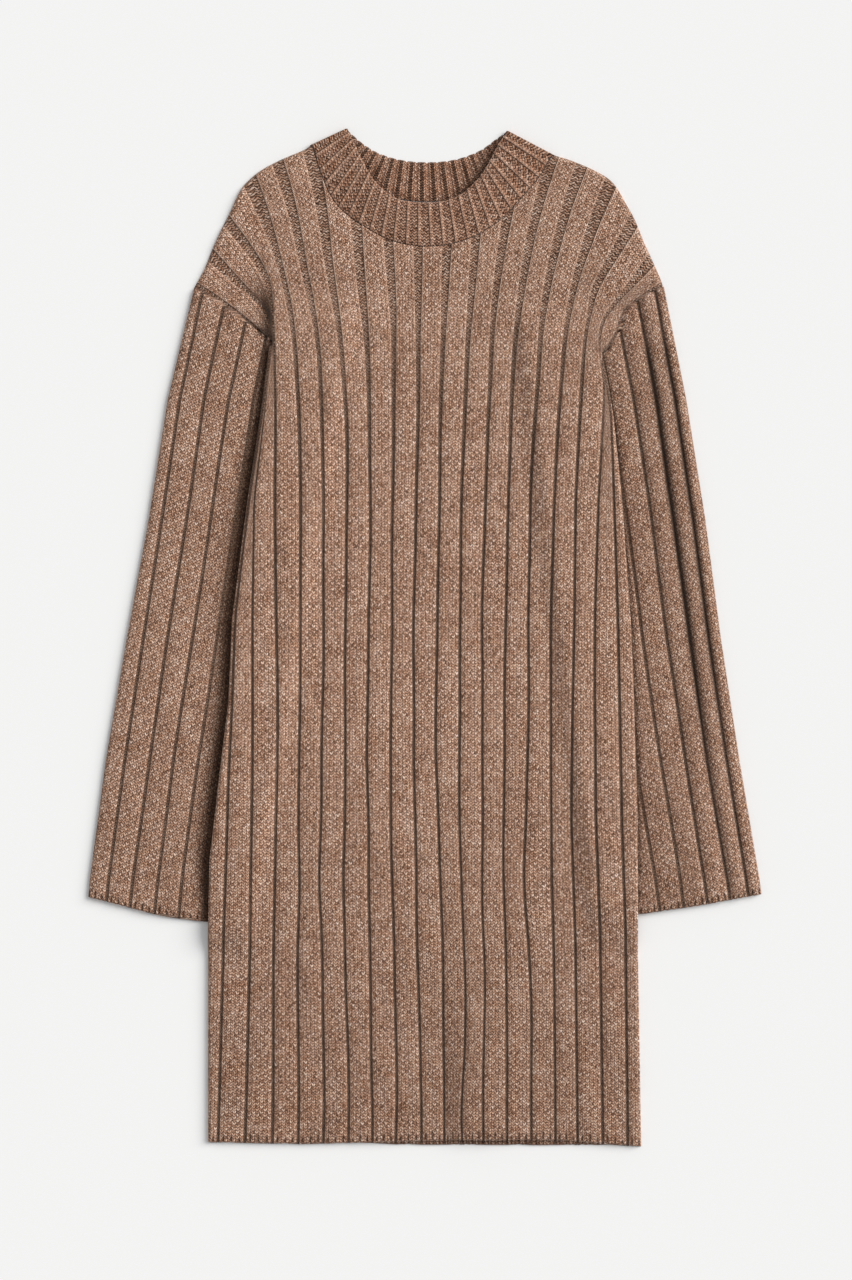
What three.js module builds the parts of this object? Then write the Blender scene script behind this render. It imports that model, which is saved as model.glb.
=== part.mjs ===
// A rib-knit sweater dress laid flat on its back, front up, neck towards +Y.
// Millimetres, +Z up. The underside rests on z = 0 and the origin is the middle of the laid outline.
// Right and left name the wearer's sides: the wearer's right sleeve lies at -X.
import * as THREE from "three";

// The knit's own thickness
const UNDER_LAYER = 2.2; // the layer that rests on the surface
const LAYER_GAP = 0.3; // between two layers, and at each seam
const GROOVE_WALL = 1.7; // the wall at the bottom of a groove between two ribs
const RIB_RISE = 1.3; // how far a rib stands above its grooves
const TOP_INSIDE = UNDER_LAYER + LAYER_GAP;
const SLEEVE_STACK = TOP_INSIDE + GROOVE_WALL + RIB_RISE + LAYER_GAP; // what a body side lies on
const FRONT_STACK = SLEEVE_STACK + 0.4; // the front rises a little more, clear of the back

// The rounded folds at the body sides and shoulders
const FOLD_RADIUS = 3.2;
const FOLD_WALL = 2.3;
const BACK_INSET = FOLD_WALL + 0.7;
const SEAM_MOVE = { x: 0.9, y: 0.7 }; // the armhole seam's gap
const SHOULDER_INSET = 3.8; // how far the back ends inside the front's shoulder fold
const SHOULDER_WALL = 2.6; // the fold's wall at the shoulder
const NECK_WALL = 1.9; // how far the inside of the neckline ends short of its outside
const NECK_GAP = 0.6; // between the back's neckline and the outline it runs up to

// The ribs: a groove at each whole number, 18 grooves on the front
const GROOVES = 18;
const MIDDLE = (GROOVES - 1) / 2;
// How high a rib is across its width, on the cloth and at a welt with three short ribs for each wide one
const RIB_FORM = [
  { across: 0, cloth: 0, welt: 0 },
  { across: 0.08, cloth: 0.8, welt: 0.85 },
  { across: 1 / 3, cloth: 1, welt: 0.1 },
  { across: 0.5, cloth: 1, welt: 0.95 },
  { across: 2 / 3, cloth: 1, welt: 0.1 },
  { across: 0.92, cloth: 0.8, welt: 0.85 },
];
const WELT = 6.5; // height of the hem and cuff welts
const WELT_END = 0.6; // the share of the welt's relief that is left at its very edge
const FOLD_RELIEF = 0.5; // the share of a rib's relief that a side fold keeps
// The width at which a gathered rib begins to stand up, and how much wider it stands at full height
const GATHERED = { from: 3, over: 12 };
const SQUEEZE = 0.25; // least distance between two rib lines that the side fold gathers
const SQUEEZE_INSIDE = 0.35;
// The ribs at the two sides of the neck have more points, because the steep neckline ends them
const NECK_SIDE_RIBS = [5, 11];
const NECK_SIDE_FORM = [0, 0.08, 0.12, 0.16, 0.2, 0.25, 1 / 3, 0.42, 0.5, 0.58, 2 / 3, 0.75, 0.84, 0.92];

// The middle line and pitch of the body's ribs at each height
const BODY_RIBS = [
  { y: -441, centre: -1.5, pitch: 20.8 },
  { y: -262, centre: -0.4, pitch: 20.4 },
  { y: -123, centre: -0.4, pitch: 19.9 },
  { y: 15, centre: 0.4, pitch: 19.7 },
  { y: 120, centre: 2.2, pitch: 19.9 },
  { y: 189, centre: 3.6, pitch: 20.3 },
  { y: 260, centre: 5.2, pitch: 21.2 },
  { y: 295, centre: 6.0, pitch: 22.3 },
  { y: 330, centre: 6.5, pitch: 24.0 },
  { y: 365, centre: 7.0, pitch: 26.0 },
  { y: 400, centre: 7.0, pitch: 28.5 },
  { y: 430, centre: 7.0, pitch: 31.0 },
];
// The soft fold down the lower middle pushes the ribs on its left aside
const MIDDLE_FOLD = { top: -100, bottom: -400, shift: 8.7, from: -8.5, crest: 0.5, to: 2.5 };

// The sides: the edge (body side, then armhole seam) and the three outer grooves at each height
const RIGHT_SIDE = [
  { y: -441, edge: -188, first: -179.5, second: -157.5, third: -134.5 },
  { y: -262, edge: -188, first: -174.5, second: -151.5, third: -131.5 },
  { y: -192, edge: -186.5, first: -172, second: -150.5, third: -130 },
  { y: -123, edge: -178.5, first: -170, second: -149.5, third: -128.5 },
  { y: -54, edge: -170, first: -166.5, second: -149.5, third: -128.5 },
  { y: 16, edge: -167, first: -164, second: -149.5, third: -129 },
  { y: 120, edge: -153.5, first: -151.5, second: -148, third: -130 },
  { y: 189, edge: -143, first: -142, second: -139.5, third: -129.5 },
  { y: 250, edge: -135, first: -134, second: -132.5, third: -130.5 },
  { y: 261, edge: -134, first: -133, second: -132, third: -130.5 },
  { y: 262.5, edge: -138.5, first: -136, second: -132.3, third: -130.8 },
  { y: 277, edge: -160, first: -157, second: -134.8, third: -132 },
  { y: 290, edge: -177.5, first: -174, second: -139, third: -133 },
  { y: 304, edge: -201, first: -197, second: -158, third: -134 },
  { y: 316, edge: -221, first: -217, second: -169, third: -137 },
  { y: 327, edge: -240, first: -235, second: -180, third: -144 },
  { y: 340, edge: -262, first: -257, second: -192.5, third: -153 },
  { y: 377, edge: -330, first: -325, second: -227, third: -185 },
];
const LEFT_SIDE = [
  { y: -441, edge: 187.5, first: 175.5, second: 154, third: 132 },
  { y: -262, edge: 184.5, first: 173.5, second: 151.5, third: 130 },
  { y: -158, edge: 184, first: 170, second: 147.5, third: 126.5 },
  { y: -54, edge: 181, first: 168, second: 146.5, third: 127.5 },
  { y: 16, edge: 178, first: 166.5, second: 146.5, third: 129 },
  { y: 120, edge: 170.5, first: 163, second: 150, third: 130 },
  { y: 189, edge: 163.5, first: 160.5, second: 154.5, third: 133.5 },
  { y: 221, edge: 158.5, first: 157.5, second: 156, third: 135.5 },
  { y: 247, edge: 153, first: 152, second: 151, third: 137.5 },
  { y: 248.5, edge: 157, first: 154.5, second: 151, third: 137.6 },
  { y: 262, edge: 169, first: 166, second: 151, third: 139 },
  { y: 272, edge: 172, first: 168.5, second: 151.5, third: 141.5 },
  { y: 285, edge: 174.5, first: 172, second: 160, third: 143.5 },
  { y: 298, edge: 192, first: 188.5, second: 172.5, third: 145 },
  { y: 304, edge: 205, first: 201, second: 178, third: 146.5 },
  { y: 327, edge: 250, first: 244, second: 195, third: 160.5 },
  { y: 340, edge: 275, first: 268, second: 205, third: 168.5 },
  { y: 377, edge: 345, first: 335, second: 231, third: 191 },
];

// The shoulders' outline from the armhole to the neckband, as knots of a smooth curve
const RIGHT_SHOULDER = [
  { x: -201, y: 302 },
  { x: -191, y: 320 },
  { x: -184.5, y: 336.5 },
  { x: -176.5, y: 354 },
  { x: -168, y: 371 },
  { x: -160, y: 388 },
  { x: -152.5, y: 397 },
  { x: -141, y: 406 },
  { x: -125, y: 414.5 },
  { x: -105, y: 423 },
  { x: -97.5, y: 427.5 },
];
const LEFT_SHOULDER = [
  { x: 207, y: 302 },
  { x: 204.5, y: 310.5 },
  { x: 197, y: 327.5 },
  { x: 189, y: 345 },
  { x: 182, y: 362.5 },
  { x: 172.5, y: 379.5 },
  { x: 167.5, y: 388.5 },
  { x: 160.5, y: 397 },
  { x: 145.5, y: 406 },
  { x: 125, y: 414.5 },
  { x: 110, y: 419 },
];

// The neckband from its seam to its free edge: round the front from the wearer's right, and over the back
const BAND_FRONT = [
  { seam: [-97.5, 427.5], edge: [-68.5, 441] },
  { seam: [-91, 404], edge: [-62.5, 431] },
  { seam: [-77.5, 376], edge: [-54.5, 413.5] },
  { seam: [-54, 357], edge: [-41.5, 393] },
  { seam: [-26, 343], edge: [-22.5, 379.5] },
  { seam: [4.5, 339], edge: [2.5, 376.5] },
  { seam: [34.5, 344.5], edge: [27, 381.5] },
  { seam: [61.5, 359], edge: [46, 397.5] },
  { seam: [82.5, 380], edge: [55.5, 412] },
  { seam: [100.5, 401.5], edge: [64, 428.5] },
  { seam: [110, 419], edge: [72, 439] },
];
const BAND_BACK = [
  { seam: [110, 419], edge: [72, 439] },
  { seam: [89.5, 404], edge: [62.5, 432.5] },
  { seam: [65, 391], edge: [48.5, 422.5] },
  { seam: [34.5, 381.5], edge: [27, 414.5] },
  { seam: [4.5, 378], edge: [3, 412] },
  { seam: [-26, 381], edge: [-21, 414] },
  { seam: [-54.5, 392], edge: [-40.5, 420] },
  { seam: [-77, 406], edge: [-54.5, 428.5] },
  { seam: [-97.5, 427.5], edge: [-68.5, 441] },
];
const BAND = {
  frontRibs: 24,
  backRibs: 19,
  wall: 1.8,
  rise: 0.9,
  backWall: 1.6,
  backRise: 0.63,
  edgeWall: 0.8, // the shares of wall and rise that are left at the free edge
  edgeRise: 0.55,
  seamGap: 0.45,
  lift: 4.5, // how far the front's free edge stands off the back
  foldShare: 2.9 / 165, // the part of each half ring that its shoulder folds take
  foldInside: 0.12,
  foldTurns: [45, 0, -45],
  across: [0, 0.45, 0.92, 1], // lines of points from the seam to the free edge
};

// The hems: the back's shows under the front's where the front lifts in the middle
const FRONT_HEM = [
  { x: -190, y: -437 },
  { x: -108, y: -438.5 },
  { x: -22, y: -437 },
  { x: 30, y: -435 },
  { x: 116, y: -435.5 },
  { x: 155, y: -438.5 },
  { x: 190, y: -441 },
];
const BACK_HEM = [
  { x: -190, y: -434 },
  { x: -60, y: -437 },
  { x: -20, y: -439 },
  { x: 150, y: -439.5 },
  { x: 190, y: -437 },
];

// The sleeves: the outer fold, the fold hidden under the body, and the first groove's distance from
// the outer fold at each height.
const RIGHT_SLEEVE = {
  side: -1,
  hidden: { x: -95, y: 250 }, // where its seam ends under the body side
  cuff: [
    { x: -292, y: -224.5 },
    { x: -237.5, y: -238.5 },
    { x: -185.5, y: -246 },
    { x: -175, y: -247 },
  ],
  sections: [
    { y: -249, outer: -293.5, inner: -181, first: 15.6 },
    { y: -210, outer: -290.5, inner: -174.5, first: 16.5 },
    { y: -106, outer: -276.5, inner: -157, first: 16.5 },
    { y: -1, outer: -258.5, inner: -139.5, first: 14.5 },
    { y: 102, outer: -239.5, inner: -122.5, first: 11.5 },
    { y: 206, outer: -223, inner: -105.5, first: 10.5 },
    { y: 301, outer: -200.5, inner: -89.5, first: 8 },
  ],
  grooves: [0, 21.2, 42.4, 63.6, 84.8], // from the first groove towards the body
};
const LEFT_SLEEVE = {
  side: 1,
  hidden: { x: 110, y: 247 },
  cuff: [
    { x: 172, y: -240.5 },
    { x: 185.5, y: -239.5 },
    { x: 241, y: -231.5 },
    { x: 293, y: -222 },
  ],
  sections: [
    { y: -241, outer: 294, inner: 176, first: 12 },
    { y: -210, outer: 290, inner: 172, first: 12 },
    { y: -106, outer: 272.5, inner: 159, first: 11.5 },
    { y: -1, outer: 256.5, inner: 146, first: 11 },
    { y: 102, outer: 243, inner: 133, first: 11 },
    { y: 206, outer: 226.5, inner: 120, first: 10 },
    { y: 304, outer: 207, inner: 107.5, first: 8.5 },
  ],
  grooves: [0, 16.4, 35.8, 57, 78.5],
};

// Where each body side lies over its sleeve: how the cloth rises onto it and comes down again
const OVER_RIGHT_SLEEVE = { corner: 261, fade: 310, foldFrom: 265, foldTo: 289 };
const OVER_LEFT_SLEEVE = { corner: 247, fade: 298, foldFrom: 264, foldTo: 284 };
const SLEEVE_RAMP = { from: -42, to: -22 }; // beside the sleeve's hidden fold
const BELOW_CUFF = { from: -276, to: -251 };

// A sleeve's folds and inside
const SLEEVE_FOLD = { flat: 3.4, depth: 2.6, rise: 1.1, angles: [-60, -20, 20, 60] };
const EDGE_RELIEF = 0.9; // of the rib beside the outer fold
const CUFF_DROP = 0.15; // how far the cuff's very edge comes down towards the tube's middle
const SEAM_WALL = 2.5; // how far the inside ends short of the armhole seam
const SLIT = [0, 0.2, 0.4, 0.6, 0.8, 1];

// Heights near the hem and the cuffs, and those between which the ribs end at a seam or the neck
const NEAR_HEM = -438;
const NEAR_CUFF = -235;
const SLEEVE_END = { from: 180, to: 320 };
const BODY_END = { aboveCorner: 5, to: 445 };

// Curves and tables
const indices = (list) => list.map((_, i) => i);
const clamp01 = (t) => Math.min(1, Math.max(0, t));
const mix = (a, b, t) => a + (b - a) * t;
const smooth = (v, from, to) => {
  const t = clamp01((v - from) / (to - from));
  return t * t * (3 - 2 * t);
};

// A named column of a table at a height or place between its rows
function at(rows, key, value, column) {
  const last = rows.length - 1;
  let i = 0;
  while (i < last - 1 && value > rows[i + 1][key]) i++;
  const [a, b] = [rows[i], rows[i + 1]];
  const t = (value - a[key]) / (b[key] - a[key]);
  const within = i === 0 || i === last - 1 ? t : clamp01(t);
  return mix(a[column], b[column], within);
}

function curve(knots, perSpan) {
  const points = knots.map(([x, y]) => new THREE.Vector3(x, y, 0));
  const line = new THREE.CatmullRomCurve3(points, false, "centripetal");
  return line.getPoints((knots.length - 1) * perSpan).map((p) => [p.x, p.y]);
}

// The outline that a panel's ribs run up to: shoulder, neck seam, shoulder
function topOutline(band) {
  const knot = ({ x, y }) => [x, y];
  const neck = band.map((row) => row.seam).sort((a, b) => a[0] - b[0]);
  const line = [
    ...curve(RIGHT_SHOULDER.map(knot), 4),
    ...curve(neck, 12).slice(1),
    ...curve([...LEFT_SHOULDER].reverse().map(knot), 4).slice(1),
  ];
  return line.map(([x, y]) => ({ x, y }));
}
const FRONT_OUTLINE = topOutline(BAND_FRONT);
const BACK_OUTLINE = topOutline(BAND_BACK);
const NECK_FROM = RIGHT_SHOULDER.at(-1).x;
const NECK_TO = LEFT_SHOULDER.at(-1).x;

// The height where a line x(y) that rises from inside a shape meets its upper outline y(x)
function meet(lineX, outline, low, high) {
  let [inside, outside] = [low, high];
  for (let i = 0; i < 40; i++) {
    const y = (inside + outside) / 2;
    if (at(outline, "x", lineX(y), "y") > y) inside = y;
    else outside = y;
  }
  return inside;
}

// How far the armhole fold has raised groove number g at height y: above the corner the cloth outside
// the fold lies low, and the fold takes in the outer grooves one by one
function raised(g, y) {
  const left = g > MIDDLE;
  const side = left ? OVER_LEFT_SLEEVE : OVER_RIGHT_SLEEVE;
  const n = left ? GROOVES - 1 - g : g;
  const { corner, foldFrom, foldTo } = side;
  const lines = [
    1 - smooth(y, corner, corner + 1.5),
    1 - smooth(y, corner, corner + 4),
    1 - smooth(y, foldFrom, foldTo),
    1,
  ];
  const place = Math.min(2, Math.max(0, n + 1));
  const whole = Math.min(1, Math.floor(place));
  return n >= 2 ? 1 : n > 1 ? mix(lines[2], 1, n - 1) : mix(lines[whole], lines[whole + 1], place - whole);
}

// The height of a body panel's underside above the surface, with the stack it lies on at its sides
function lie(g, x, y, stack) {
  const side = x < 0 ? OVER_RIGHT_SLEEVE : OVER_LEFT_SLEEVE;
  const sleeve = x < 0 ? RIGHT_SLEEVE : LEFT_SLEEVE;
  const inner = at(sleeve.sections, "y", y, "inner");
  const beyond = (x - inner) * sleeve.side; // positive over the sleeve
  const across = smooth(beyond, SLEEVE_RAMP.from, SLEEVE_RAMP.to);
  const up = 1 - smooth(y, side.corner + 1, side.fade);
  const down = smooth(y, BELOW_CUFF.from, BELOW_CUFF.to);
  return stack * across * up * down * raised(g, y);
}

// The place of groove number g, which may lie between two grooves, at height y
function grooveX(g, y) {
  const line = (n) => {
    if (n < 0) return at(RIGHT_SIDE, "y", y, "edge");
    if (n > GROOVES - 1) return at(LEFT_SIDE, "y", y, "edge");
    const names = ["first", "second", "third"];
    if (n < 3) return at(RIGHT_SIDE, "y", y, names[n]);
    if (n > GROOVES - 4) return at(LEFT_SIDE, "y", y, names[GROOVES - 1 - n]);
    const from = n - MIDDLE;
    const { top, bottom, shift, from: left, crest, to } = MIDDLE_FOLD;
    const share = from < crest ? (from - left) / (crest - left) : clamp01((to - from) / (to - crest));
    const deep = clamp01((top - y) / (top - bottom));
    return at(BODY_RIBS, "y", y, "centre") + from * at(BODY_RIBS, "y", y, "pitch") + shift * share * deep;
  };
  const whole = Math.floor(g);
  return mix(line(whole), line(whole + 1), g - whole);
}

// The height of the round side of a fold, as a share, at a distance from its edge
const round = (d) => {
  const t = clamp01(1 - d / FOLD_RADIUS);
  return Math.sqrt(1 - t * t);
};

// A closed wall between two grids of points, each a list of rows. rowOf and columnOf say which outer
// row and column each inner one lies behind. A ring closes round its columns and is open at both ends.
function wall(name, colour, outer, inner, rowOf, columnOf, ring = false) {
  const points = [];
  const faces = [];
  const number = (grid) => grid.map((row) => row.map((p) => points.push(p) - 1));
  const out = number(outer);
  const into = number(inner);
  const sheet = (grid, flip) => {
    const columns = grid[0].length;
    for (let r = 0; r + 1 < grid.length; r++)
      for (let c = 0; c + 1 < columns + (ring ? 1 : 0); c++) {
        const d = (c + 1) % columns;
        const [p, q, s, t] = [grid[r][c], grid[r][d], grid[r + 1][d], grid[r + 1][c]];
        faces.push(...(flip ? [[p, s, q], [p, t, s]] : [[p, q, s], [p, s, t]]));
      }
  };
  sheet(out, false);
  sheet(into, true);
  // One side of the rim: the outer points from a to b are joined to the two inner points behind them
  const join = (line, a, b, near, far, flip) => {
    const face = (p, q, s) => faces.push(flip ? [p, s, q] : [p, q, s]);
    const middle = Math.ceil((a + b) / 2);
    for (let k = a; k < middle; k++) face(line(k), near, line(k + 1));
    face(line(middle), near, far);
    for (let k = middle; k < b; k++) face(line(k), far, line(k + 1));
  };
  const columns = out[0].length;
  const lastOut = out.length - 1;
  const lastIn = into.length - 1;
  for (let i = 0; i + 1 < columnOf.length + (ring ? 1 : 0); i++) {
    const next = (i + 1) % columnOf.length;
    const end = next === 0 ? columns + columnOf[0] : columnOf[next];
    join((k) => out[0][k % columns], columnOf[i], end, into[0][i], into[0][next], false);
    join((k) => out[lastOut][k % columns], columnOf[i], end, into[lastIn][i], into[lastIn][next], true);
  }
  if (!ring)
    for (let i = 0; i + 1 < rowOf.length; i++) {
      const end = into[0].length - 1;
      join((k) => out[k][0], rowOf[i], rowOf[i + 1], into[i][0], into[i + 1][0], true);
      join((k) => out[k][columns - 1], rowOf[i], rowOf[i + 1], into[i][end], into[i + 1][end], false);
    }
  const geometry = new THREE.BufferGeometry();
  geometry.setAttribute("position", new THREE.Float32BufferAttribute(points.flat(), 3));
  geometry.setIndex(volume(points, faces) < 0 ? faces.flatMap(([p, q, s]) => [p, s, q]) : faces.flat());
  geometry.computeVertexNormals();
  const material = new THREE.MeshStandardMaterial({ color: colour, roughness: 0.95, metalness: 0 });
  const mesh = new THREE.Mesh(geometry, material);
  mesh.name = name;
  return mesh;
}

function volume(points, faces) {
  let sum = 0;
  for (const [p, q, s] of faces) {
    const [a, b, c] = [points[p], points[q], points[s]];
    sum += a[0] * (b[1] * c[2] - b[2] * c[1]) + a[1] * (b[2] * c[0] - b[0] * c[2]);
    sum += a[2] * (b[0] * c[1] - b[1] * c[0]);
  }
  return sum / 6;
}

// The rows of a body panel, from the hem to the armhole corner and on to the top outline
const ROWS_UP = [-276, -251, -120, 16, 120];
const ROWS_NEAR_CORNER = [-50, -6, 0];
const ROWS_TO_TOP = [0, 0.18, 0.36, 0.55, 0.75];
const TOP_TURN = [3.6, 1.5, 0.35, 0]; // distances from the shoulder's edge
const SHOULDER_SLOPE = 0.9; // of a column's own distance from the edge, because it meets it aslant

function bodyRows(hem, corner, top) {
  const aboveCorner = corner + 1.5;
  return [
    hem,
    hem + 1.8,
    hem + WELT,
    ...ROWS_UP,
    ...ROWS_NEAR_CORNER.map((d) => corner + d),
    ...ROWS_TO_TOP.map((t) => mix(aboveCorner, top - 5, t)),
    ...TOP_TURN.map((d) => top - d),
  ];
}

// The columns of a body panel: the side fold, then each rib's own points, then the other side fold
const SIDE_TURN = [0, 0.25, 1, 2.1];
const TURN_END = 2.35;
const TURN_LEFT = SIDE_TURN.map((turn) => ({ g: turn / TURN_END - 1, edge: -1, turn }));
const TURN_RIGHT = [...SIDE_TURN]
  .reverse()
  .map((turn) => ({ g: GROOVES - turn / TURN_END, edge: GROOVES, turn }));

const ribColumns = () => {
  const columns = [];
  for (let n = 0; n < GROOVES - 1; n++) {
    const fine = NECK_SIDE_RIBS.includes(n);
    const form = fine ? NECK_SIDE_FORM.map((across) => ({ across })) : RIB_FORM;
    for (const { across } of form)
      columns.push({
        g: n + across,
        cloth: at(RIB_FORM, "across", across, "cloth"),
        welt: at(RIB_FORM, "across", across, "welt"),
        inside: across === 0 || fine,
      });
  }
  columns.push({ g: GROOVES - 1, cloth: 0, welt: 0, inside: true });
  return columns;
};

// The place of an outer column: on the round side of a fold, or on a rib that the fold may gather
function columnX(column, index, count, y) {
  if (column.edge !== undefined) return grooveX(column.edge, y) - Math.sign(column.edge) * column.turn;
  const low = grooveX(-1, y) + SIDE_TURN.at(-1) + SQUEEZE * (index + 1);
  const high = grooveX(GROOVES, y) - SIDE_TURN.at(-1) - SQUEEZE * (count - index);
  return Math.min(high, Math.max(low, grooveX(column.g, y)));
}

const cornerOf = (g) => {
  const across = clamp01(g / (GROOVES - 1));
  return mix(OVER_RIGHT_SLEEVE.corner, OVER_LEFT_SLEEVE.corner, across);
};
// Below the armhole corner the side is folded, and above it the edge lies flat against the sleeve
const folded = (g, y) => 1 - smooth(y, cornerOf(g) - 6, cornerOf(g));

// The place of an inner column, kept in order where the side fold gathers the ribs. The column half
// way to the first groove is the inner corner of the fold and stays beside the rim.
function insideX(g, y, inset) {
  const steps = (n) => SQUEEZE_INSIDE * (n < 0 ? 2 * (n + 1) : n + 2);
  const fold = inset * folded(g, y);
  const low = grooveX(-1, y) + fold + steps(g);
  const high = grooveX(GROOVES, y) - fold - steps(GROOVES - 1 - g);
  if (g === -0.5) return low;
  if (g === GROOVES - 0.5) return high;
  return Math.min(high, Math.max(low, grooveX(g, y)));
}

// The groove number that a point between the edge and the outermost groove stands for by its place
function numberAt(g, x, y, firstX, lastX) {
  const [low, high] = [grooveX(-1, y), grooveX(GROOVES, y)];
  if (g < 0) return (x - low) / (firstX - low) - 1;
  if (g > GROOVES - 1) return GROOVES - (high - x) / (high - lastX);
  return g;
}

// A column's rows, and whether its top end is turned down at the shoulder or butts on the neckband
function columnLine(lineX, g, outline, hemline) {
  const top = meet(lineX, outline, cornerOf(g) + BODY_END.aboveCorner, BODY_END.to);
  const topX = lineX(top);
  const turned = smooth(Math.max(NECK_FROM - topX, topX - NECK_TO), 0, 4);
  const hem = at(hemline, "x", lineX(NEAR_HEM), "y");
  return { turned, top, rows: bodyRows(hem, cornerOf(g), top) };
}

function frontPanel() {
  const ribs = ribColumns();
  const columns = [...TURN_LEFT, ...ribs, ...TURN_RIGHT];
  const xOf = (c, y) => columnX(columns[c], c - SIDE_TURN.length, ribs.length, y);
  const lines = columns.map(({ g }, c) => columnLine((y) => xOf(c, y), g, FRONT_OUTLINE, FRONT_HEM));
  const last = columns.length - 1;
  const firstRib = SIDE_TURN.length;
  const outer = lines[0].rows.map((_, r) =>
    columns.map(({ g, edge, cloth, welt }, c) => {
      const { rows, turned, top } = lines[c];
      const y = rows[r];
      const x = xOf(c, y);
      const distance = Math.min(x - grooveX(-1, y), grooveX(GROOVES, y) - x);
      const fold = mix(1, round(distance), folded(g, y));
      const shoulder = mix(1, round((top - y) * SHOULDER_SLOPE), turned);
      const form = edge === undefined ? (r < 2 ? welt : cloth) : FOLD_RELIEF;
      // A rib that the side fold squeezes loses its relief with its width
      const near = Math.abs(xOf(Math.min(c + 3, columns.length - 1), y) - xOf(Math.max(c - 3, 0), y));
      const standing = clamp01((near - GATHERED.from) / GATHERED.over);
      const relief = RIB_RISE * form * standing * (r === 0 ? WELT_END : 1);
      const number = numberAt(g, x, y, xOf(firstRib, y), xOf(last - firstRib, y));
      const height = (TOP_INSIDE + GROOVE_WALL + relief) * fold * shoulder;
      return [x, y, lie(number, x, y, FRONT_STACK) + height];
    }),
  );
  // The plain inside: the rim, the inner corner of the side fold, one line for each groove, and back
  const behind = ribs.map((column, i) => (column.inside ? firstRib + i : -1)).filter((c) => c > 0);
  const columnOf = [0, firstRib - 1, ...behind, last - firstRib + 1, last];
  const insideG = columnOf.map((c) => {
    if (c === firstRib - 1) return -0.5;
    return c === last - firstRib + 1 ? GROOVES - 0.5 : columns[c].g;
  });
  const lastRow = outer.length - 1;
  const rowOf = outer.map((_, r) => r).filter((r) => r <= lastRow - TOP_TURN.length + 1 || r === lastRow);
  const inner = rowOf.map((r) =>
    columnOf.map((c, i) => {
      const { rows, turned, top } = lines[c];
      const g = insideG[i];
      const end = top - mix(NECK_WALL, SHOULDER_WALL, turned);
      const y = r === lastRow ? end : Math.min(rows[r], top - TOP_TURN[0]);
      const x = insideX(g, y, FOLD_WALL);
      const rim = c === 0 || c === last;
      const drop = (rim ? 1 - folded(g, y) : 1) * (r === lastRow ? 1 - turned : 1);
      const first = insideX(0, y, FOLD_WALL);
      const number = numberAt(g, x, y, first, insideX(GROOVES - 1, y, FOLD_WALL));
      return [x, y, lie(number, x, y, FRONT_STACK) + TOP_INSIDE * drop];
    }),
  );
  return wall("front", 0x957461, outer, inner, rowOf, columnOf);
}

// The back panel rests flat, so it is plain on both sides, inside the front's folded edges
function backPanel() {
  const [neckFrom, neckTo] = NECK_SIDE_RIBS;
  const form = (n) => {
    if (NECK_SIDE_RIBS.includes(n)) return NECK_SIDE_FORM;
    if (n === -1 || n === GROOVES - 1) return [0, 0.5];
    return n > neckFrom && n < neckTo ? [0, 0.25, 0.5, 0.75] : [0];
  };
  const ribs = Array.from({ length: GROOVES + 2 }, (_, i) => i - 1);
  const places = ribs.flatMap((n) => form(n).map((across) => n + across));
  const lines = places.map((g) => {
    const lineX = (y) => insideX(g, y, BACK_INSET);
    const { rows } = columnLine(lineX, g, FRONT_OUTLINE, BACK_HEM);
    const { top } = columnLine(lineX, g, BACK_OUTLINE, BACK_HEM);
    const [fromRight, fromLeft] = [lineX(top) - NECK_FROM, NECK_TO - lineX(top)];
    const end = top - mix(SHOULDER_INSET, NECK_GAP, smooth(Math.min(fromRight, fromLeft), 1, 6));
    return [rows[0], ...rows.slice(3, -TOP_TURN.length), end];
  });
  const layer = (height) =>
    lines[0].map((_, r) =>
      places.map((g, c) => {
        const y = lines[c][r];
        const x = insideX(g, y, BACK_INSET);
        const ends = [insideX(0, y, BACK_INSET), insideX(GROOVES - 1, y, BACK_INSET)];
        return [x, y, lie(numberAt(g, x, y, ...ends), x, y, SLEEVE_STACK) + height];
      }),
    );
  return wall("back", 0x86685a, layer(0), layer(UNDER_LAYER), indices(lines[0]), indices(places));
}

// The armhole seam as the front's edge has it, moved off by the seam's gap, and on under the body side
function armholeSeam({ side, hidden }) {
  const g = side < 0 ? -1 : GROOVES;
  const { rows } = columnLine((y) => grooveX(g, y), g, FRONT_OUTLINE, FRONT_HEM);
  const seam = rows.filter((y) => y > cornerOf(g) + 1).map((y) => ({ x: grooveX(g, y), y }));
  const end = seam.at(-1);
  const past = { x: end.x + 8 * side, y: end.y + 5 };
  const corner = { x: grooveX(g, cornerOf(g)), y: cornerOf(g) };
  const line = [hidden, corner, ...seam, past];
  const moved = line.map(({ x, y }) => ({ x: x + side * SEAM_MOVE.x, y: y - SEAM_MOVE.y }));
  return moved.sort((a, b) => a.x - b.x);
}

// A sleeve: one tube of knit, flattened between its outer fold and the fold under the body side
const UNDER_PLACES = [0.97, 0.87, 0.75, 0.66, 0.57, 0.48, 0.39, 0.3, 0.22, 0.13, 0.03];
const SLEEVE_UP = [0.06, 0.16, 0.3, 0.45, 0.6, 0.74, 0.86, 0.95, 1];
const radians = (angle) => (angle * Math.PI) / 180;

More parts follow.
